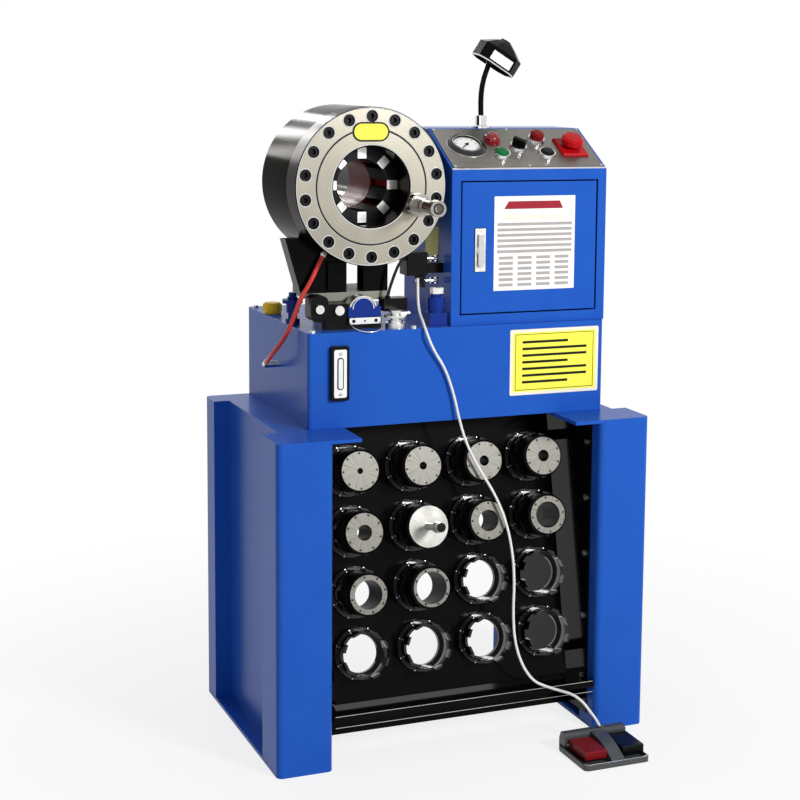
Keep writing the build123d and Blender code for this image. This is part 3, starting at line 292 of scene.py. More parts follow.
def turned_cylinder_steel():
    """The cylinder's turned and blacked outside: glossy black with fine feed lines."""
    material, tree, shader = new_finish("blacked_turned_steel", Metallic=1.0, Roughness=0.16,
                                        Specular_Tint=grey(0.45))
    depth = add(tree, "ShaderNodeSeparateXYZ", {0: surface_place(tree)}).outputs["Y"]
    # The feed is 0.2 mm; 3 mm lines show in the render
    lines = add(tree, "ShaderNodeTexNoise", {"W": depth}, noise_dimensions="1D", Scale=330.0,
                Detail=4.0, Roughness=0.7).outputs["Fac"]
    mottle(tree, shader, "#151411", "#1f1d19", 60)
    gloss_spread(tree, shader, lines, 0.1, 0.22)
    relief(tree, shader, lines, 0.02, 0.4)
    return material


def black_oxide():
    """Hot-blacked and oiled steel: near black, with edges that mirror less than bright metal."""
    return clouded("black_oxide_steel", "#141415", "#242425", 12, 0.3, (0.22, 0.4),
                   Metallic=1.0, Specular_Tint=grey(0.45))


def from_middle(tree, value, middle, pitch):
    """The distance from the middle of the pitch that a value falls in."""
    folded = add(tree, "ShaderNodeMath",
                 {0: value, 1: middle + pitch / 2, 2: middle - pitch / 2}, operation="WRAP")
    return add(tree, "ShaderNodeMath", {0: folded.outputs[0], 1: middle},
               operation="SUBTRACT").outputs[0]


def die_steel():
    """Die segments ground across their faces: pale grey steel with streaks from the bore out."""
    material, tree, shader = new_finish("ground_die_steel", Metallic=0.7, Roughness=0.4,
                                        Specular_Tint=grey(0.5))
    place = surface_place(tree)
    parts = add(tree, "ShaderNodeSeparateXYZ", {0: place})
    # The angle round each set's own centre, which repeats with the pitch of the cups
    top_centre = CUP_TOP_ROW[1] + DIE_FRONT * sin(PANEL_TILT)
    side = from_middle(tree, parts.outputs["X"], CUP_PITCH / 2, CUP_PITCH)
    level = from_middle(tree, parts.outputs["Z"], top_centre, CUP_ROW_PITCH * cos(PANEL_TILT))
    turn = add(tree, "ShaderNodeMath", {0: level, 1: side}, operation="ARCTAN2").outputs[0]
    streaks = add(tree, "ShaderNodeTexNoise", {"W": turn}, noise_dimensions="1D", Scale=6.0,
                  Detail=6.0, Roughness=0.8).outputs["Fac"]
    # The stone's grit is 0.3 mm; 3 mm grain shows in the render
    grain = add(tree, "ShaderNodeTexNoise", {"Vector": place}, Scale=1000 / 3,
                Detail=3.0).outputs["Fac"]
    pattern = add(tree, "ShaderNodeMix", {"A": streaks, "B": grain},
                  Factor=0.35).outputs["Result"]
    face = add(tree, "ShaderNodeMix",
               {"Factor": pattern, "A": linear("#33322e"), "B": linear("#8b8982")},
               data_type="RGBA").outputs["Result"]
    # Only the faces are ground; the sides and the bores are painted near black, as painted shade
    face_colour_and_painted_shade(tree, shader, face, PANEL_OUT, "#0a0a0a")
    gloss_spread(tree, shader, grain, 0.32, 0.48)
    relief(tree, shader, pattern, 0.05, 0.6)
    return material


def ground_steel():
    """Ground bright steel, as on the carrying tool and the piston."""
    return clouded("ground_steel", "#7f7e7a", "#b4b3ae", 40, 0.28, (0.2, 0.34), Metallic=1.0)


def satin_steel():
    """Turned steel polished to a satin: even grey with a soft sheen."""
    return clouded("satin_steel", "#8e8b85", "#a9a6a0", 18, 0.2, (0.14, 0.26), Metallic=1.0)


def zinc_plate():
    """Bright zinc plate on turned and pressed steel, with a cloudy passivated skin."""
    return clouded("bright_zinc_plate", "#b9bab8", "#dadbd8", 14, 0.3, (0.2, 0.4),
                   Metallic=1.0)


def chrome():
    """Polished chrome plate: a clear mirror with hardly any haze."""
    return clouded("chrome_plate", "#d2d3d4", "#e2e3e4", 30, 0.08, (0.05, 0.12), Metallic=1.0)


def brushed_stainless():
    """Stainless sheet brushed from side to side: long fine scratches along X."""
    material, tree, shader = new_finish("brushed_stainless", Metallic=1.0, Roughness=0.36)
    # Scratches 170 mm long and 1 mm apart; the real ones, of 0.1 mm, wouldn't show
    stretch = add(tree, "ShaderNodeMapping", {"Vector": surface_place(tree)},
                  Scale=(6.0, 900.0, 900.0))
    scratches = add(tree, "ShaderNodeTexNoise", {"Vector": stretch.outputs[0]}, Scale=1.0,
                    Detail=4.0).outputs["Fac"]
    colour = add(tree, "ShaderNodeMix",
                 {"Factor": scratches, "A": linear("#62605b"), "B": linear("#85827b")},
                 data_type="RGBA")
    tree.links.new(colour.outputs["Result"], shader.inputs["Base Color"])
    gloss_spread(tree, shader, scratches, 0.28, 0.46)
    relief(tree, shader, scratches, 0.01, 0.5)
    return material


def moulded(name, low, high, roughness):
    """Moulded plastic: even colour with the mould's fine spark texture."""
    material, tree, shader = new_finish(name, Roughness=roughness, IOR=1.2)
    mottle(tree, shader, low, high, 25)
    # The spark texture is 0.1 mm; 1.6 mm shows in the render
    spark = add(tree, "ShaderNodeTexNoise", {"Vector": surface_place(tree)},
                Scale=1000 / 1.6, Detail=2.0).outputs["Fac"]
    gloss_spread(tree, shader, spark, roughness - 0.06, roughness + 0.08)
    relief(tree, shader, spark, 0.02)
    return material


def extruded(name, low, high, roughness):
    """Extruded PVC or rubber: a soft gloss that drifts along its length."""
    return clouded(name, low, high, 30, roughness, (roughness - 0.06, roughness + 0.06),
                   IOR=1.5, Specular_IOR_Level=0.22)


def signal_lens():
    """The pilot lamp's ribless red lens, moulded in acrylic."""
    return clouded("red_acrylic_lens", "#7d0b14", "#9a0f1a", 8, 0.1, IOR=1.49,
                   Transmission_Weight=0.15)


def clear_acrylic():
    """The level gauge's clear front, seen against a white plate."""
    return clouded("clear_acrylic", "#dfe2e1", "#eef0ef", 30, 0.12, IOR=1.49)


def print_sheet(name, low, high):
    """Printed vinyl or ink: flat colour with little gloss."""
    return clouded(name, low, high, 40, 0.35, IOR=1.5, Specular_IOR_Level=0.15)


# The enamels' and plastics' IOR is matched to the object: all-white surroundings would turn
# its dark sides pale at the usual 1.5
FINISH = {
    "blue": enamel("blue_gloss_enamel", "#1d52b1", "#245aba", 0.24, 6, 1.6, 0.5, 1.16),
    "black": enamel("black_stove_enamel", "#050505", "#080807", 0.12, 4, 0.8, 0.3, 1.2),
    "cup": enamel("black_gloss_enamel", "#040404", "#080808", 0.08, 5, 0.8, 0.5, 1.5),
    "grey": enamel("grey_satin_enamel", "#8c8b80", "#9a998e", 0.4, 5, 1.0, 0.5),
    "grey_cast": enamel("grey_hammered_enamel", "#3c3f41", "#4c4f52", 0.3, 3, 1.5, 0.9),
    "red_tube": red_enamel(),
    "turned": turned_steel(),
    "cylinder": turned_cylinder_steel(),
    "oxide": black_oxide(),
    "die": die_steel(),
    "ground": ground_steel(),
    "satin": satin_steel(),
    "zinc": zinc_plate(),
    "chrome": chrome(),
    "stainless": brushed_stainless(),
    "black_abs": moulded("black_abs", "#070708", "#0c0c0d", 0.26),
    "grey_abs": moulded("grey_abs", "#5f6264", "#6b6e70", 0.4),
    "yellow_abs": moulded("yellow_abs", "#f2ca2c", "#fbd840", 0.35),
    "red_abs": moulded("red_abs", "#a80913", "#bd0f19", 0.24),
    "dark_red_abs": moulded("dark_red_abs", "#6d0d12", "#7c1218", 0.34),
    "green_abs": moulded("green_abs", "#085a2f", "#0d6c39", 0.26),
    "blue_abs": moulded("blue_nylon", "#0f2a78", "#15348c", 0.3),
    "lens": signal_lens(),
    "acrylic": clear_acrylic(),
    "white_pvc": extruded("white_pvc", "#dcdcd8", "#ecece8", 0.38),
    "red_hose": extruded("red_polyurethane", "#c23431", "#d8443c", 0.3),
    "black_pvc": extruded("black_pvc", "#101011", "#1b1b1c", 0.4),
    "white_print": print_sheet("white_vinyl", "#ececea", "#f5f5f2"),
    "cream_print": print_sheet("cream_ink", "#e8e2cf", "#efe9d8"),
    "yellow_print": print_sheet("yellow_vinyl", "#f2ec4e", "#f7f25c"),
    "grey_print": print_sheet("grey_ink", "#a39d9b", "#b0aaa8"),
    "red_print": print_sheet("red_ink", "#8f1d2c", "#a32434"),
    "black_print": print_sheet("black_ink", "#0c0c0c", "#161616"),
}

NODE_FINISH = {
    "left_leg": "blue", "right_leg": "blue", "oil_tank": "blue", "cabinet_shell": "blue",
    "cabinet_door": "blue", "motor_pump": "blue", "rack_frame": "black",
    "die_rack_panel": "black", "die_cups": "cup", "empty_die_cups": "cup",
    "head_saddle": "black", "lamp_shade": "black", "stored_die_sets": "die",
    "die_tool": "ground", "piston": "ground", "filler_cap": "yellow_abs",
    "level_gauge": "black_abs", "head_cover": "turned", "head_cylinder": "cylinder",
    "rear_hose_guide": "black", "bore_liner": "red_tube", "cover_screws": "oxide",
    "head_handle": "satin", "head_base_plate": "grey", "door_latch": "chrome",
    "electrics": "grey_abs", "control_panel": "stainless", "gauge_case": "cup",
    "gauge_needle": "black_print", "button_bezels": "chrome", "green_button": "green_abs",
    "black_button": "black_abs", "red_button": "dark_red_abs", "selector_knob": "black_abs",
    "pilot_lamp": "lens", "stop_collar": "red_abs", "stop_button": "red_abs",
    "lamp_base": "chrome", "lamp_neck": "black", "motor_fan": "grey_abs",
    "valve_block": "zinc", "black_coil": "black_abs", "blue_coils": "blue_abs",
    "limit_switch": "black_abs", "setting_rods": "chrome", "pedal_base": "grey_cast",
    "red_pedal": "dark_red_abs", "black_pedal": "black_abs", "fasteners": "zinc",
}


def dress_nodes():
    """Gives the CAD nodes their finishes; the cords' nodes have none, as pieces replace them."""
    for name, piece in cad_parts.items():
        finish = "oxide" if name.startswith("die_shoe") else NODE_FINISH.get(name)
        if finish is None:
            continue
        for place in piece.material_slots:
            place.material = FINISH[finish]


def mesh_piece(name, mesh, finish, body="frame"):
    """A new piece from a bmesh, with a finish, riding on a body."""
    bmesh.ops.recalc_face_normals(mesh, faces=mesh.faces)
    data = bpy.data.meshes.new(name)
    mesh.to_mesh(data)
    mesh.free()
    data.materials.append(FINISH[finish])
    piece = bpy.data.objects.new(name, data)
    bpy.context.collection.objects.link(piece)
    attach(piece, body)


def swing(across, up, degrees):
    """The direction at an angle from one direction towards another."""
    turn = radians(degrees)
    return across * cos(turn) + up * sin(turn)


def skin(mesh, rows, closed=True):
    """Joins rows of points with faces, the last row to the first; closed rows go round."""
    count = len(rows[0])
    for first, second in zip(rows, rows[1:] + rows[:1]):
        for here in range(count if closed else count - 1):
            after = (here + 1) % count
            mesh.faces.new((first[here], first[after], second[after], second[here]))


def strip_corners(outer, inner, low, high):
    """The four corners of a thin strip's section, in order round it."""
    return ((outer, low), (outer, high), (inner, high), (inner, low))


def rounded(width, height, radius, steps=6):
    """A rounded rectangle's outline about its centre."""
    points = []
    corners = ((1, 1, 0), (-1, 1, 90), (-1, -1, 180), (1, -1, 270))
    for side, top, start in corners:
        for step in range(steps + 1):
            turn = radians(start + 90 * step / steps)
            points.append((side * (width / 2 - radius) + radius * cos(turn),
                           top * (height / 2 - radius) + radius * sin(turn)))
    return points


def add_plate(mesh, outline, origin, across, up, thick):
    """Adds a flat plate: an outline of (across, up) points, raised off a surface."""
    out = across.cross(up)
    low = [mesh.verts.new(origin + across * a + up * u) for a, u in outline]
    high = [mesh.verts.new(vert.co + out * thick) for vert in low]
    mesh.faces.new(high)
    mesh.faces.new(list(reversed(low)))
    count = len(outline)
    for here in range(count):
        after = (here + 1) % count
        mesh.faces.new((low[here], low[after], high[after], high[here]))


def add_front_plate(mesh, centre, width, height, radius, thick, steps=6):
    """Adds a rounded plate that faces the operator; centre is on its back."""
    add_plate(mesh, rounded(width, height, radius, steps), centre, X_ACROSS, Z_UP, thick)


def front_plate(name, centre, width, height, radius, finish, lift=0.0, thick=0.0006,
                body="frame"):
    """A plate, as a piece, lifted off a surface that faces the operator."""
    mesh = bmesh.new()
    add_front_plate(mesh, Vector(centre) + FRONT_OUT * lift, width, height, radius, thick)
    mesh_piece(name, mesh, finish, body)


def add_turned(mesh, profile, origin, axis, sides=48, ring=False):
    """Adds a turned form: (radius, height) points about an axis; a ring joins its two ends."""
    side = axis.orthogonal().normalized()
    other = axis.cross(side)
    rows = []
    for radius, height in profile:
        centre = origin + axis * height
        if radius == 0:
            rows.append([mesh.verts.new(centre)] * sides)
            continue
        rows.append([mesh.verts.new(centre + swing(side, other, 360 * number / sides) * radius)
                     for number in range(sides)])
    if ring:
        rows.append(rows[0])
    for low, high in zip(rows, rows[1:]):
        for here in range(sides):
            after = (here + 1) % sides
            corners = []
            for vert in (low[here], low[after], high[after], high[here]):
                if vert not in corners:
                    corners.append(vert)
            mesh.faces.new(corners)


def add_ring(mesh, inner, outer, thick, place, axis, sides=48):
    """Adds a thin ring with a softened top."""
    soft = thick / 3
    profile = [(inner, 0), (outer, 0), (outer, thick - soft), (outer - soft, thick),
               (inner + soft, thick), (inner, thick - soft)]
    add_turned(mesh, profile, place, axis, sides, ring=True)


def cover_trim():
    """The cover's painted edge highlights, thin chrome rings on its edges, and its dark joint
    line.
    """
    face = Vector((HEAD_X, HEAD_FRONT, HEAD_Z))
    line = 0.0016
    mesh = bmesh.new()
    # Thin chrome rings round the screw holes and on the rim, the bore and the joint: painted edge
    # highlights
    for number in range(SCREWS):
        place = face + swing(X_ACROSS, Z_UP, 90 + number * 360 / SCREWS) * SCREW_CIRCLE
        add_ring(mesh, SCREW_HOLE, SCREW_HOLE + 0.0022, 0.0005, place, FRONT_OUT)
    for radius, inset, width in ((COVER_RIM, 0, 0.0017), (COVER_BORE, 0.003, 0.0025),
                                 (COVER_JOINT, 0.002, 0.0012)):
        inner = radius + inset
        add_ring(mesh, inner, inner + width, 0.0004, face, FRONT_OUT, 120)
    mesh_piece("cover_painted_edge_highlights", mesh, "chrome")
    mesh = bmesh.new()
    add_ring(mesh, COVER_JOINT - line, COVER_JOINT + line, 0.0003, face, FRONT_OUT, 120)
    mesh_piece("cover_joint_line", mesh, "black_print")


def die_plate_trim():
    """Bright zinc plates in the gaps between the master dies, each riding on one of them: painted
    light in the gaps.
    """
    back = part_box("die_shoe_1")[0][1] - 0.0008
    for number in range(SHOES):
        out = swing(X_ACROSS, Z_UP, 90 + number * 360 / SHOES)
        mesh = bmesh.new()
        add_plate(mesh, rounded(*DIE_PLATE_SIZE, 0.0015, 3),
                  Vector((HEAD_X, back, HEAD_Z)) + out * DIE_PLATE_OUT, out.cross(FRONT_OUT),
                  out, 0.0012)
        mesh_piece(f"gap_painted_light_plate_{number + 1}", mesh, "zinc", f"shoe_{number + 1}")


def handle_trim():
    """The dark ring painted on the end of the cover's handle: painted shade."""
    end = Vector((HANDLE_X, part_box("head_handle")[0][1], HANDLE_Z))
    mesh = bmesh.new()
    add_ring(mesh, 0.0085, 0.0125, 0.0004, end, FRONT_OUT, 40)
    mesh_piece("handle_painted_shade_ring", mesh, "black_print")


def oval_trim():
    """The cover's blank oval plate and its dark border."""
    centre = (-0.203, HEAD_FRONT, 1.432)
    width, height, border, thick = 0.080, 0.036, 0.004, 0.0006
    front_plate("oval_plate_border", centre, width + 2 * border, height + 2 * border, 0.0219,
                "black_print", thick)
    front_plate("oval_plate", centre, width, height, 0.0179, "yellow_print", 2 * thick)


def tank_trim():
    """The tank's blank yellow plate with its bars."""
    centre = Vector((0.2653, TANK_FRONT, 0.8868))
    width, height, edge, corner, sheet, ink = 0.2335, 0.1576, 0.008, 0.004, 0.0006, 0.0002
    front_plate("tank_plate", centre, width, height, corner, "cream_print", thick=sheet)
    front_plate("tank_plate_field", centre, width - 2 * edge, height - 2 * edge, corner,
                "yellow_print", sheet, 0.0003)
    back = centre + FRONT_OUT * (sheet + 0.0003)
    mesh = bmesh.new()
    # The border's lines: across, up, width and height
    for a, u, wide, high in ((0, 0.0665, 0.205, 0.0014), (0, -0.0665, 0.205, 0.0014),
                             (-0.1025, 0, 0.0014, 0.133), (0.1025, 0, 0.0014, 0.133)):
        add_front_plate(mesh, back + Vector((a, 0, u)), wide, high, 0.0006, ink, 2)
    long_bar, short_bar, pitch = 0.17, 0.12, 0.016
    for row in range(7):
        bar = long_bar if row % 3 else short_bar
        place = back + Vector(((bar - long_bar) / 2, 0, 0.048 - row * pitch))
        add_front_plate(mesh, place, bar, 0.006, 0.001, ink, 2)
    mesh_piece("tank_plate_bars", mesh, "black_print")


def level_gauge_trim():
    """The level gauge's white scale plate, its window and its two screws."""
    low, high = [Vector(corner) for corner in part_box("level_gauge")]
    middle = (low + high) / 2
    face = Vector((middle.x, low.y, middle.z))
    front_plate("gauge_scale_plate", face, 0.030, 0.110, 0.004, "white_print", 0.0002, 0.0008)
    front_plate("gauge_window_edge", face, 0.015, 0.074, 0.007, "black_abs", 0.001, 0.0012)
    front_plate("gauge_window", face, 0.0105, 0.069, 0.005, "acrylic", 0.0022, 0.0006)
    screw = [(0, 0), (0.0042, 0), (0.0042, 0.0012), (0.0028, 0.0022), (0, 0.0024)]
    mesh = bmesh.new()
    for side in (-1, 1):
        place = face + Z_UP * side * 0.0465 + FRONT_OUT * 0.001
        add_turned(mesh, screw, place, FRONT_OUT, 24)
    mesh_piece("gauge_plate_screws", mesh, "chrome")


def chart_trim():
    """The chart on the door, blank apart from its heading, cells and bars."""
    centre = Vector((0.2125, CABINET_FRONT, 1.170))
    sheet, ink, corner = 0.0006, 0.0003, 0.0005
    front_plate("door_chart", centre, 0.210, 0.222, 0.001, "white_print", thick=sheet,
                body="door")
    # Everything printed is placed from the middle of the heading's foot
    foot = Vector((centre.x, centre.y - sheet, 1.251))
    mesh = bmesh.new()
    add_plate(mesh, [(-0.080, 0), (0.073, 0), (0.064, 0.018), (-0.069, 0.018)], foot,
              X_ACROSS, Z_UP, ink)
    mesh_piece("chart_heading", mesh, "red_print", "door")
    mesh = bmesh.new()
    for column in range(9):
        place = foot + Vector((column * 0.0185 - 0.076, 0, -0.020))
        add_front_plate(mesh, place, 0.0165, 0.012, corner, ink, 1)
    mesh_piece("chart_cells", mesh, "cream_print", "door")
    mesh = bmesh.new()
    bar_height, row_pitch = 0.0068, 0.0128
    for row in range(6):
        place = foot - Z_UP * (0.036 + row * row_pitch)
        add_front_plate(mesh, place, 0.194, bar_height, corner, ink, 1)
    for row in range(6):
        for column in range(4):
            place = foot + Vector((column * 0.0485 - 0.074, 0, -0.115 - row * row_pitch))
            add_front_plate(mesh, place, 0.036, bar_height, corner, ink, 1)
    mesh_piece("chart_bars", mesh, "grey_print", "door")


def latch_trim():
    """The latch's bright plate and its dark edge, a painted shadow round the plate."""
    face = (0.0722, CABINET_FRONT, 1.1565)
    front_plate("latch_painted_shadow_edge", face, 0.0295, 0.104, 0.002, "black_abs", 0.0, 0.0008,
                "door")
    front_plate("latch_plate", face, 0.0265, 0.101, 0.0015, "zinc", 0.0008, 0.0012, "door")


def panel_point(across, up, rise=0.0):
    """A point on the control panel's plate, in metres."""
    return (SLOPE_ORIGIN + X_ACROSS * across + SLOPE_UP * up
            + SLOPE_OUT * (PANEL_PLATE + rise))


def gauge_trim():
    """The pressure gauge's dial, ticks and bright rings."""
    seat = panel_point(*GAUGE_PLACE, 0.003)
    dial = 0.0006
    mesh = bmesh.new()
    add_ring(mesh, 0.0016, GAUGE_RADIUS - 0.0004, dial, seat, SLOPE_OUT, 64)
    mesh_piece("gauge_dial", mesh, "white_print")
    mesh = bmesh.new()
    for number in range(28):
        along = swing(X_ACROSS, SLOPE_UP, number * 10 - 45)
        length, width = (0.006, 0.0010) if number % 3 == 0 else (0.0035, 0.0006)
        tick = [(-width / 2, -length), (width / 2, -length), (width / 2, 0), (-width / 2, 0)]
        place = seat + along * (GAUGE_RADIUS - 0.004) + SLOPE_OUT * dial
        add_plate(mesh, tick, place, along.cross(SLOPE_OUT), along, 0.0002)
    mesh_piece("gauge_ticks", mesh, "black_print")
    mesh = bmesh.new()
    add_ring(mesh, GAUGE_RADIUS + 0.0005, GAUGE_RADIUS + 0.0035, 0.0012,
             panel_point(*GAUGE_PLACE, 0.009), SLOPE_OUT, 96)
    add_ring(mesh, 0.047, 0.0485, 0.0016, panel_point(*GAUGE_PLACE), SLOPE_OUT, 96)
    mesh_piece("gauge_bright_rings", mesh, "chrome")


def panel_strip_trim():
    """The bright strip along the control panel's lower edge."""
    margin, width = 0.001, 0.005
    left, right = margin, PANEL_WIDTH - margin
    mesh = bmesh.new()
    add_plate(mesh, [(left, 0), (right, 0), (right, width), (left, width)],
              SLOPE_ORIGIN + SLOPE_OUT * 0.0002, X_ACROSS, SLOPE_UP, 0.0012)
    mesh_piece("panel_edge_strip", mesh, "chrome")


def cup_seat(cup):
    """The centre of a cup's seat on the die panel."""
    row, column = divmod(cup, CUP_COLUMNS)
    y, z = CUP_TOP_ROW
    down = row * CUP_ROW_PITCH
    return Vector(((column - (CUP_COLUMNS - 1) / 2) * CUP_PITCH, y - down * sin(PANEL_TILT),
                   z - down * cos(PANEL_TILT)))


def rack_trim():
    """The cups' flange screws, and the small holes round each stored die set, as black discs of
    painted shade.
    """
    step = 360 / DIE_SEGMENTS
    screw = [(0, 0), (0.0026, 0), (0.0026, 0.0016), (0.0016, 0.0028), (0, 0.003)]
    screws = bmesh.new()
    holes = bmesh.new()
    for cup in range(CUPS):
        seat = cup_seat(cup)
        for number in range(DIE_SEGMENTS):
            off = swing(X_ACROSS, PANEL_UP, step * (number + 0.5)) * CUP_SCREW_CIRCLE
            add_turned(screws, screw, seat + off + PANEL_OUT * CUP_FLANGE, PANEL_OUT, 16)
            if cup < DIE_SETS and cup != TOOL_DIE:
                # Each set's holes start a little further round than those before it
                off = swing(X_ACROSS, PANEL_UP, step * number + cup * 7) * DIE_HOLE_CIRCLE
                add_ring(holes, 0.0001, 0.0026, 0.0003, seat + off + PANEL_OUT * DIE_FRONT,
                         PANEL_OUT, 16)
    mesh_piece("cup_flange_screws", screws, "zinc")
    mesh_piece("die_hole_painted_shade", holes, "black_print")


def tray_trim():
    """Painted highlights: bright zinc strips along the top and the bottom edges of the tray's
    front lip.
    """
    mesh = bmesh.new()
    for height in TRAY_EDGES:
        add_front_plate(mesh, Vector((0, TRAY_FRONT, height)), TRAY_WIDTH, 0.0012, 0.0004,
                        0.0004, 2)
    mesh_piece("tray_painted_edge_highlights", mesh, "zinc")


def tool_trim():
    """The black grip on the carrying tool's knob."""
    profile = [(0, 0.0002), (0.0095, 0.0002), (0.0105, 0.0012), (0.0095, 0.002), (0, 0.0022)]
    mesh = bmesh.new()
    add_turned(mesh, profile, cup_seat(TOOL_DIE) + PANEL_OUT * TOOL_TOP, PANEL_OUT, 40)
    mesh_piece("tool_grip_end", mesh, "black_abs", "tool")


def cabinet_trim():
    """The blank yellow plate on the cabinet's left side."""
    mesh = bmesh.new()
    add_plate(mesh, rounded(0.080, 0.070, 0.004), Vector((-0.0002, -0.052, 1.170)), FRONT_OUT,
              Z_UP, 0.0006)
    mesh_piece("side_plate", mesh, "yellow_print")


def shade_axes():
    """The shade's rim: its middle, and the directions along it, off its front and up."""
    along = Vector((cos(SHADE_TILT), 0, -sin(SHADE_TILT)))
    up = Vector((sin(SHADE_TILT) * cos(SHADE_NOD), -sin(SHADE_NOD),
                 cos(SHADE_TILT) * cos(SHADE_NOD)))
    across, rise = SHADE_OFFSET
    return SHADE_JOINT - along * across - up * rise, along, along.cross(up).normalized(), up


def lamp_trim():
    """The blank plate on the shade's front and the bright rim under it."""
    middle, along, front, up = shade_axes()
    half_width, half_depth = SHADE_HALF
    mesh = bmesh.new()
    centre = middle - along * 0.003 + front * (half_depth + 0.0001) + up * 0.0185
    add_plate(mesh, rounded(0.058, 0.023, 0.001, 2), centre, along, up, 0.0008)
    mesh_piece("shade_plate", mesh, "white_print", "shade")
    mesh = bmesh.new()
    rows = []
    for inset, rise in strip_corners(-0.0003, 0.0006, 0.0002, 0.0030):
        wide, deep = half_width - inset, half_depth - inset
        outline = [(wide, SHADE_CORNER - deep), (wide, deep - SHADE_CORNER),
                   (wide - SHADE_CORNER, deep), (SHADE_CORNER - wide, deep),
                   (-wide, deep - SHADE_CORNER), (-wide, SHADE_CORNER - deep),
                   (SHADE_CORNER - wide, -deep), (wide - SHADE_CORNER, -deep)]
        rows.append([mesh.verts.new(middle + along * a + front * u + up * rise)
                     for a, u in outline])
    skin(mesh, rows)
    mesh_piece("shade_bright_rim", mesh, "chrome", "shade")


def valve_trim():
    """The solenoid's white plate, its three holes as black discs of painted shade, and the bright
    line round its coil.
    """
    thick = 0.003
    mesh = bmesh.new()
    add_front_plate(mesh, Vector((-0.2035, VALVE_FRONT, SOLENOID_PLATE_Z)), 0.075, 0.0145,
                    0.002, thick, 3)
    mesh_piece("solenoid_plate", mesh, "white_print")
    mesh = bmesh.new()
    for x, radius, sides in ((-0.231, 0.0042, 24), (-0.177, 0.0042, 24),
                             (-0.204, 0.0022, 20)):
        add_ring(mesh, 0.0002, radius, 0.0008,
                 Vector((x, VALVE_FRONT - thick, SOLENOID_PLATE_Z)), FRONT_OUT, sides)
    mesh_piece("solenoid_hole_painted_shade", mesh, "black_print")
    centre = Vector((COIL_CENTRE[0], VALVE_FRONT, COIL_CENTRE[1]))
    steps = 24
    mesh = bmesh.new()
    rows = []
    for radius, rise in strip_corners(COIL_RADIUS - 0.0065, COIL_RADIUS - 0.0045, 0, 0.0016):
        rows.append([mesh.verts.new(centre + FRONT_OUT * rise
                                    + swing(X_ACROSS, Z_UP, 180 * step / steps) * radius)
                     for step in range(steps + 1)])
    skin(mesh, rows, closed=False)
    for end in (0, steps):
        mesh.faces.new([row[end] for row in rows])
    mesh_piece("solenoid_bright_line", mesh, "zinc")


def pedal_trim():
    """The bright strip round the pedal's base."""
    low, high = [Vector(corner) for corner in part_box("pedal_base")]
    width = high.x - low.x
    middle = Vector(((low.x + high.x) / 2, PEDAL_MIDDLE, PEDAL_TOP))
    outline = rounded(width - 0.003, PEDAL_LENGTH - 0.003, 0.011)
    inside = rounded(width - 0.007, PEDAL_LENGTH - 0.007, 0.009)
    mesh = bmesh.new()
    rows = []
    for line, rise in strip_corners(outline, inside, 0.0, 0.0012):
        rows.append([mesh.verts.new(middle + Vector((a, u, rise))) for a, u in line])
    skin(mesh, rows)
    mesh_piece("pedal_bright_edge", mesh, "chrome")


PEDAL_CORD_MM = (
    (-66, -128, 1092), (-66, -128, 1056), (-69, -143, 1016), (-72, -178, 995),
    (-69, -200, 967), (-53, -196, 932), (-20, -192, 884), (2, -193, 820),
    (13, -198, 764), (28, -209, 705), (57, -222, 645), (92, -236, 585),
    (116, -247, 520), (129, -256, 450), (131, -265, 380), (124, -274, 310),
    (125, -284, 240), (140, -294, 185), (165, -303, 146), (193, -312, 132),
    (220, -332, 125), (243, -356, 121), (260, -376, 108), (274, -387, 86),
    (287, -392, 68), (297, -394, 50),
)
DRAIN_HOSE_MM = (
    (-291.5, -106, 1146), (-301, -107, 1129), (-319, -108, 1092), (-345, -108, 1050),
    (-356, -97, 1008), (-366, -72, 965), (-378, -38, 929), (-386, -8, 904),
    (-384, 26, 886),
)
SWITCH_CABLE_MM = (
    (-102, -128, 1138), (-113, -129, 1126), (-122, -128, 1106), (-129, -125, 1084),
    (-134, -121, 1065), (-136, -118, 1050),
)

# Each cord: its name, the node it replaces, its route, diameter, length, finish and stiffness
CORDS = (
    ("pedal_flex", "pedal_cord", PEDAL_CORD_MM, 0.0065, 1.231, "white_pvc", "limp"),
    ("red_drain_hose", "drain_hose", DRAIN_HOSE_MM, 0.0105, 0.334, "red_hose", "medium"),
    ("switch_flex", "switch_cable", SWITCH_CABLE_MM, 0.007, 0.097, "black_pvc", "medium"),
)


def cord_piece(name, node, route_mm, diameter, length, finish, stiffness):
    """A cord: a smooth line along the CAD tube's route."""
    line = bpy.data.curves.new(name, "CURVE")
    line.dimensions = "3D"
    spline = line.splines.new("NURBS")
    spline.points.add(len(route_mm) - 1)
    for point, place in zip(spline.points, route_mm):
        point.co = (place[0] * MM, place[1] * MM, place[2] * MM, 1)
    spline.order_u = 3
    spline.use_endpoint_u = True
    spline.resolution_u = 12
    line.bevel_depth = diameter / 2
    line.bevel_resolution = 6
    line.use_fill_caps = True
    line.materials.append(FINISH[finish])
    cord = bpy.data.objects.new(name, line)
    bpy.context.collection.objects.link(cord)
    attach(cord, "frame")
    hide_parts(node)


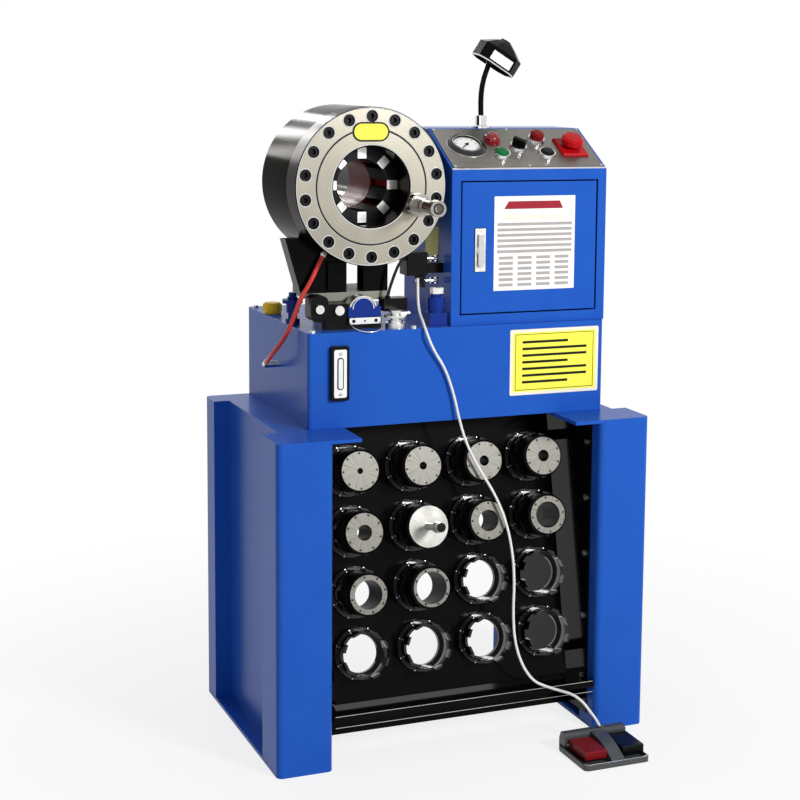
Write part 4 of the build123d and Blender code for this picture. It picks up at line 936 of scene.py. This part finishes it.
def camera():
    """The photograph's camera."""
    yaw, pitch, roll = radians(CAMERA_YAW), radians(CAMERA_PITCH), radians(CAMERA_ROLL)
    forward = Vector((-sin(yaw) * cos(pitch), cos(yaw) * cos(pitch), sin(pitch)))
    right = forward.cross(Z_UP).normalized()
    up = right.cross(forward)
    turned_right = right * cos(roll) + up * sin(roll)
    turned_up = up * cos(roll) - right * sin(roll)
    rows = Matrix((turned_right, turned_up, -forward)).transposed()
    lens = bpy.data.cameras.new("photo_camera")
    lens.sensor_width = SENSOR_MM
    lens.lens = LENS_PX / FRAME_PX * SENSOR_MM
    lens.shift_x = -(LENS_CENTRE_PX[0] - FRAME_PX / 2) / FRAME_PX
    lens.shift_y = (LENS_CENTRE_PX[1] - FRAME_PX / 2) / FRAME_PX
    eye = bpy.data.objects.new("photo_camera", lens)
    eye.matrix_world = Matrix.Translation(CAMERA_PLACE) @ rows.to_4x4()
    bpy.context.collection.objects.link(eye)
    bpy.context.scene.camera = eye


# The surroundings' strength on the machine, then each soft box's name, place, aim, width,
# height and watts; the strips behind draw the bright bands on the cylinder
WORLD_LIGHT = 0.22
SOFT_BOXES = (
    ("key_box", (1.5, -4.0, 2.5), (0, 0, 0.8), 0.9, 0.9, 160),
    ("fill_box", (-2.4, -3.6, 1.6), (0, 0, 0.8), 1.6, 1.6, 10),
    ("top_box", (0.2, 0.2, 3.6), (0, 0, 1.0), 2.0, 1.4, 14),
    ("back_strip_1", (0.0, 2.5, 2.17), (-0.35, 0, 1.35), 0.14, 0.5, 8),
    ("back_strip_2", (-0.54, 2.5, 2.22), (-0.35, 0, 1.35), 0.22, 0.5, 12),
    ("back_strip_3", (-0.97, 2.5, 1.99), (-0.35, 0, 1.35), 0.16, 0.5, 8),
)

# The floor: how far it reaches, and how far it lies under the machine's feet
FLOOR_REACH = 40
FLOOR_DROP = 0.0005


def soft_box(name, place, target, width, height, power):
    """A soft box that faces a point."""
    data = bpy.data.lights.new(name, "AREA")
    data.shape = "RECTANGLE"
    data.size = width
    data.size_y = height
    data.energy = power
    lamp = bpy.data.objects.new(name, data)
    lamp.location = place
    aim = Vector(target) - Vector(place)
    lamp.rotation_euler = aim.to_track_quat("-Z", "Y").to_euler()
    bpy.context.collection.objects.link(lamp)


def seen_by_eye(tree):
    """One where a ray is a camera, mirror or glass ray, and nought for the object's own light."""
    path = add(tree, "ShaderNodeLightPath")
    seen = path.outputs["Is Camera Ray"]
    for ray in ("Is Glossy Ray", "Is Transmission Ray"):
        seen = add(tree, "ShaderNodeMath", {0: seen, 1: path.outputs[ray]},
                   operation="MAXIMUM").outputs[0]
    return seen


def floor_finish():
    """White studio paper: it keeps the shadow near the machine and fades to plain white."""
    material, tree, shader = new_finish("studio_paper", Roughness=0.8)
    mottle(tree, shader, "#eeeeec", "#f4f4f2", 200)
    reach = add(tree, "ShaderNodeVectorMath", {0: surface_place(tree)}, operation="LENGTH")
    fade = add(tree, "ShaderNodeMapRange", {"Value": reach.outputs["Value"]},
               interpolation_type="SMOOTHSTEP", From_Min=0.5, From_Max=2.0, To_Min=0.8,
               To_Max=1.0)
    share = add(tree, "ShaderNodeMath", {0: fade.outputs["Result"], 1: seen_by_eye(tree)},
                operation="MULTIPLY")
    glow = add(tree, "ShaderNodeEmission", Color=grey(1), Strength=1.0)
    mix = add(tree, "ShaderNodeMixShader", {0: share.outputs[0], 1: shader.outputs[0],
                                            2: glow.outputs[0]})
    output = tree.nodes["Material Output"]
    tree.links.new(mix.outputs[0], output.inputs["Surface"])
    return material


def studio():
    """The floor, the white surroundings and the soft boxes."""
    mesh = bmesh.new()
    bmesh.ops.create_grid(mesh, x_segments=1, y_segments=1, size=FLOOR_REACH)
    data = bpy.data.meshes.new("studio_floor")
    mesh.to_mesh(data)
    mesh.free()
    data.materials.append(floor_finish())
    floor = bpy.data.objects.new("studio_floor", data)
    floor.location.z = -FLOOR_DROP
    bpy.context.collection.objects.link(floor)

    world = bpy.data.worlds.new("white_studio")
    bpy.context.scene.world = world
    world.use_nodes = True
    tree = world.node_tree
    strength = add(tree, "ShaderNodeMapRange", {"Value": seen_by_eye(tree)}, To_Min=WORLD_LIGHT,
                   To_Max=1.0)
    background = tree.nodes["Background"]
    background.inputs["Color"].default_value = grey(1)
    tree.links.new(strength.outputs["Result"], background.inputs["Strength"])
    for box in SOFT_BOXES:
        soft_box(*box)
    bpy.context.scene.view_settings.view_transform = "Standard"


def main():
    """Makes the whole scene."""
    dress_nodes()
    cover_trim()
    die_plate_trim()
    handle_trim()
    oval_trim()
    tank_trim()
    level_gauge_trim()
    chart_trim()
    latch_trim()
    gauge_trim()
    panel_strip_trim()
    rack_trim()
    tray_trim()
    tool_trim()
    cabinet_trim()
    lamp_trim()
    valve_trim()
    pedal_trim()
    for cord in CORDS:
        cord_piece(*cord)
    camera()
    studio()


main()
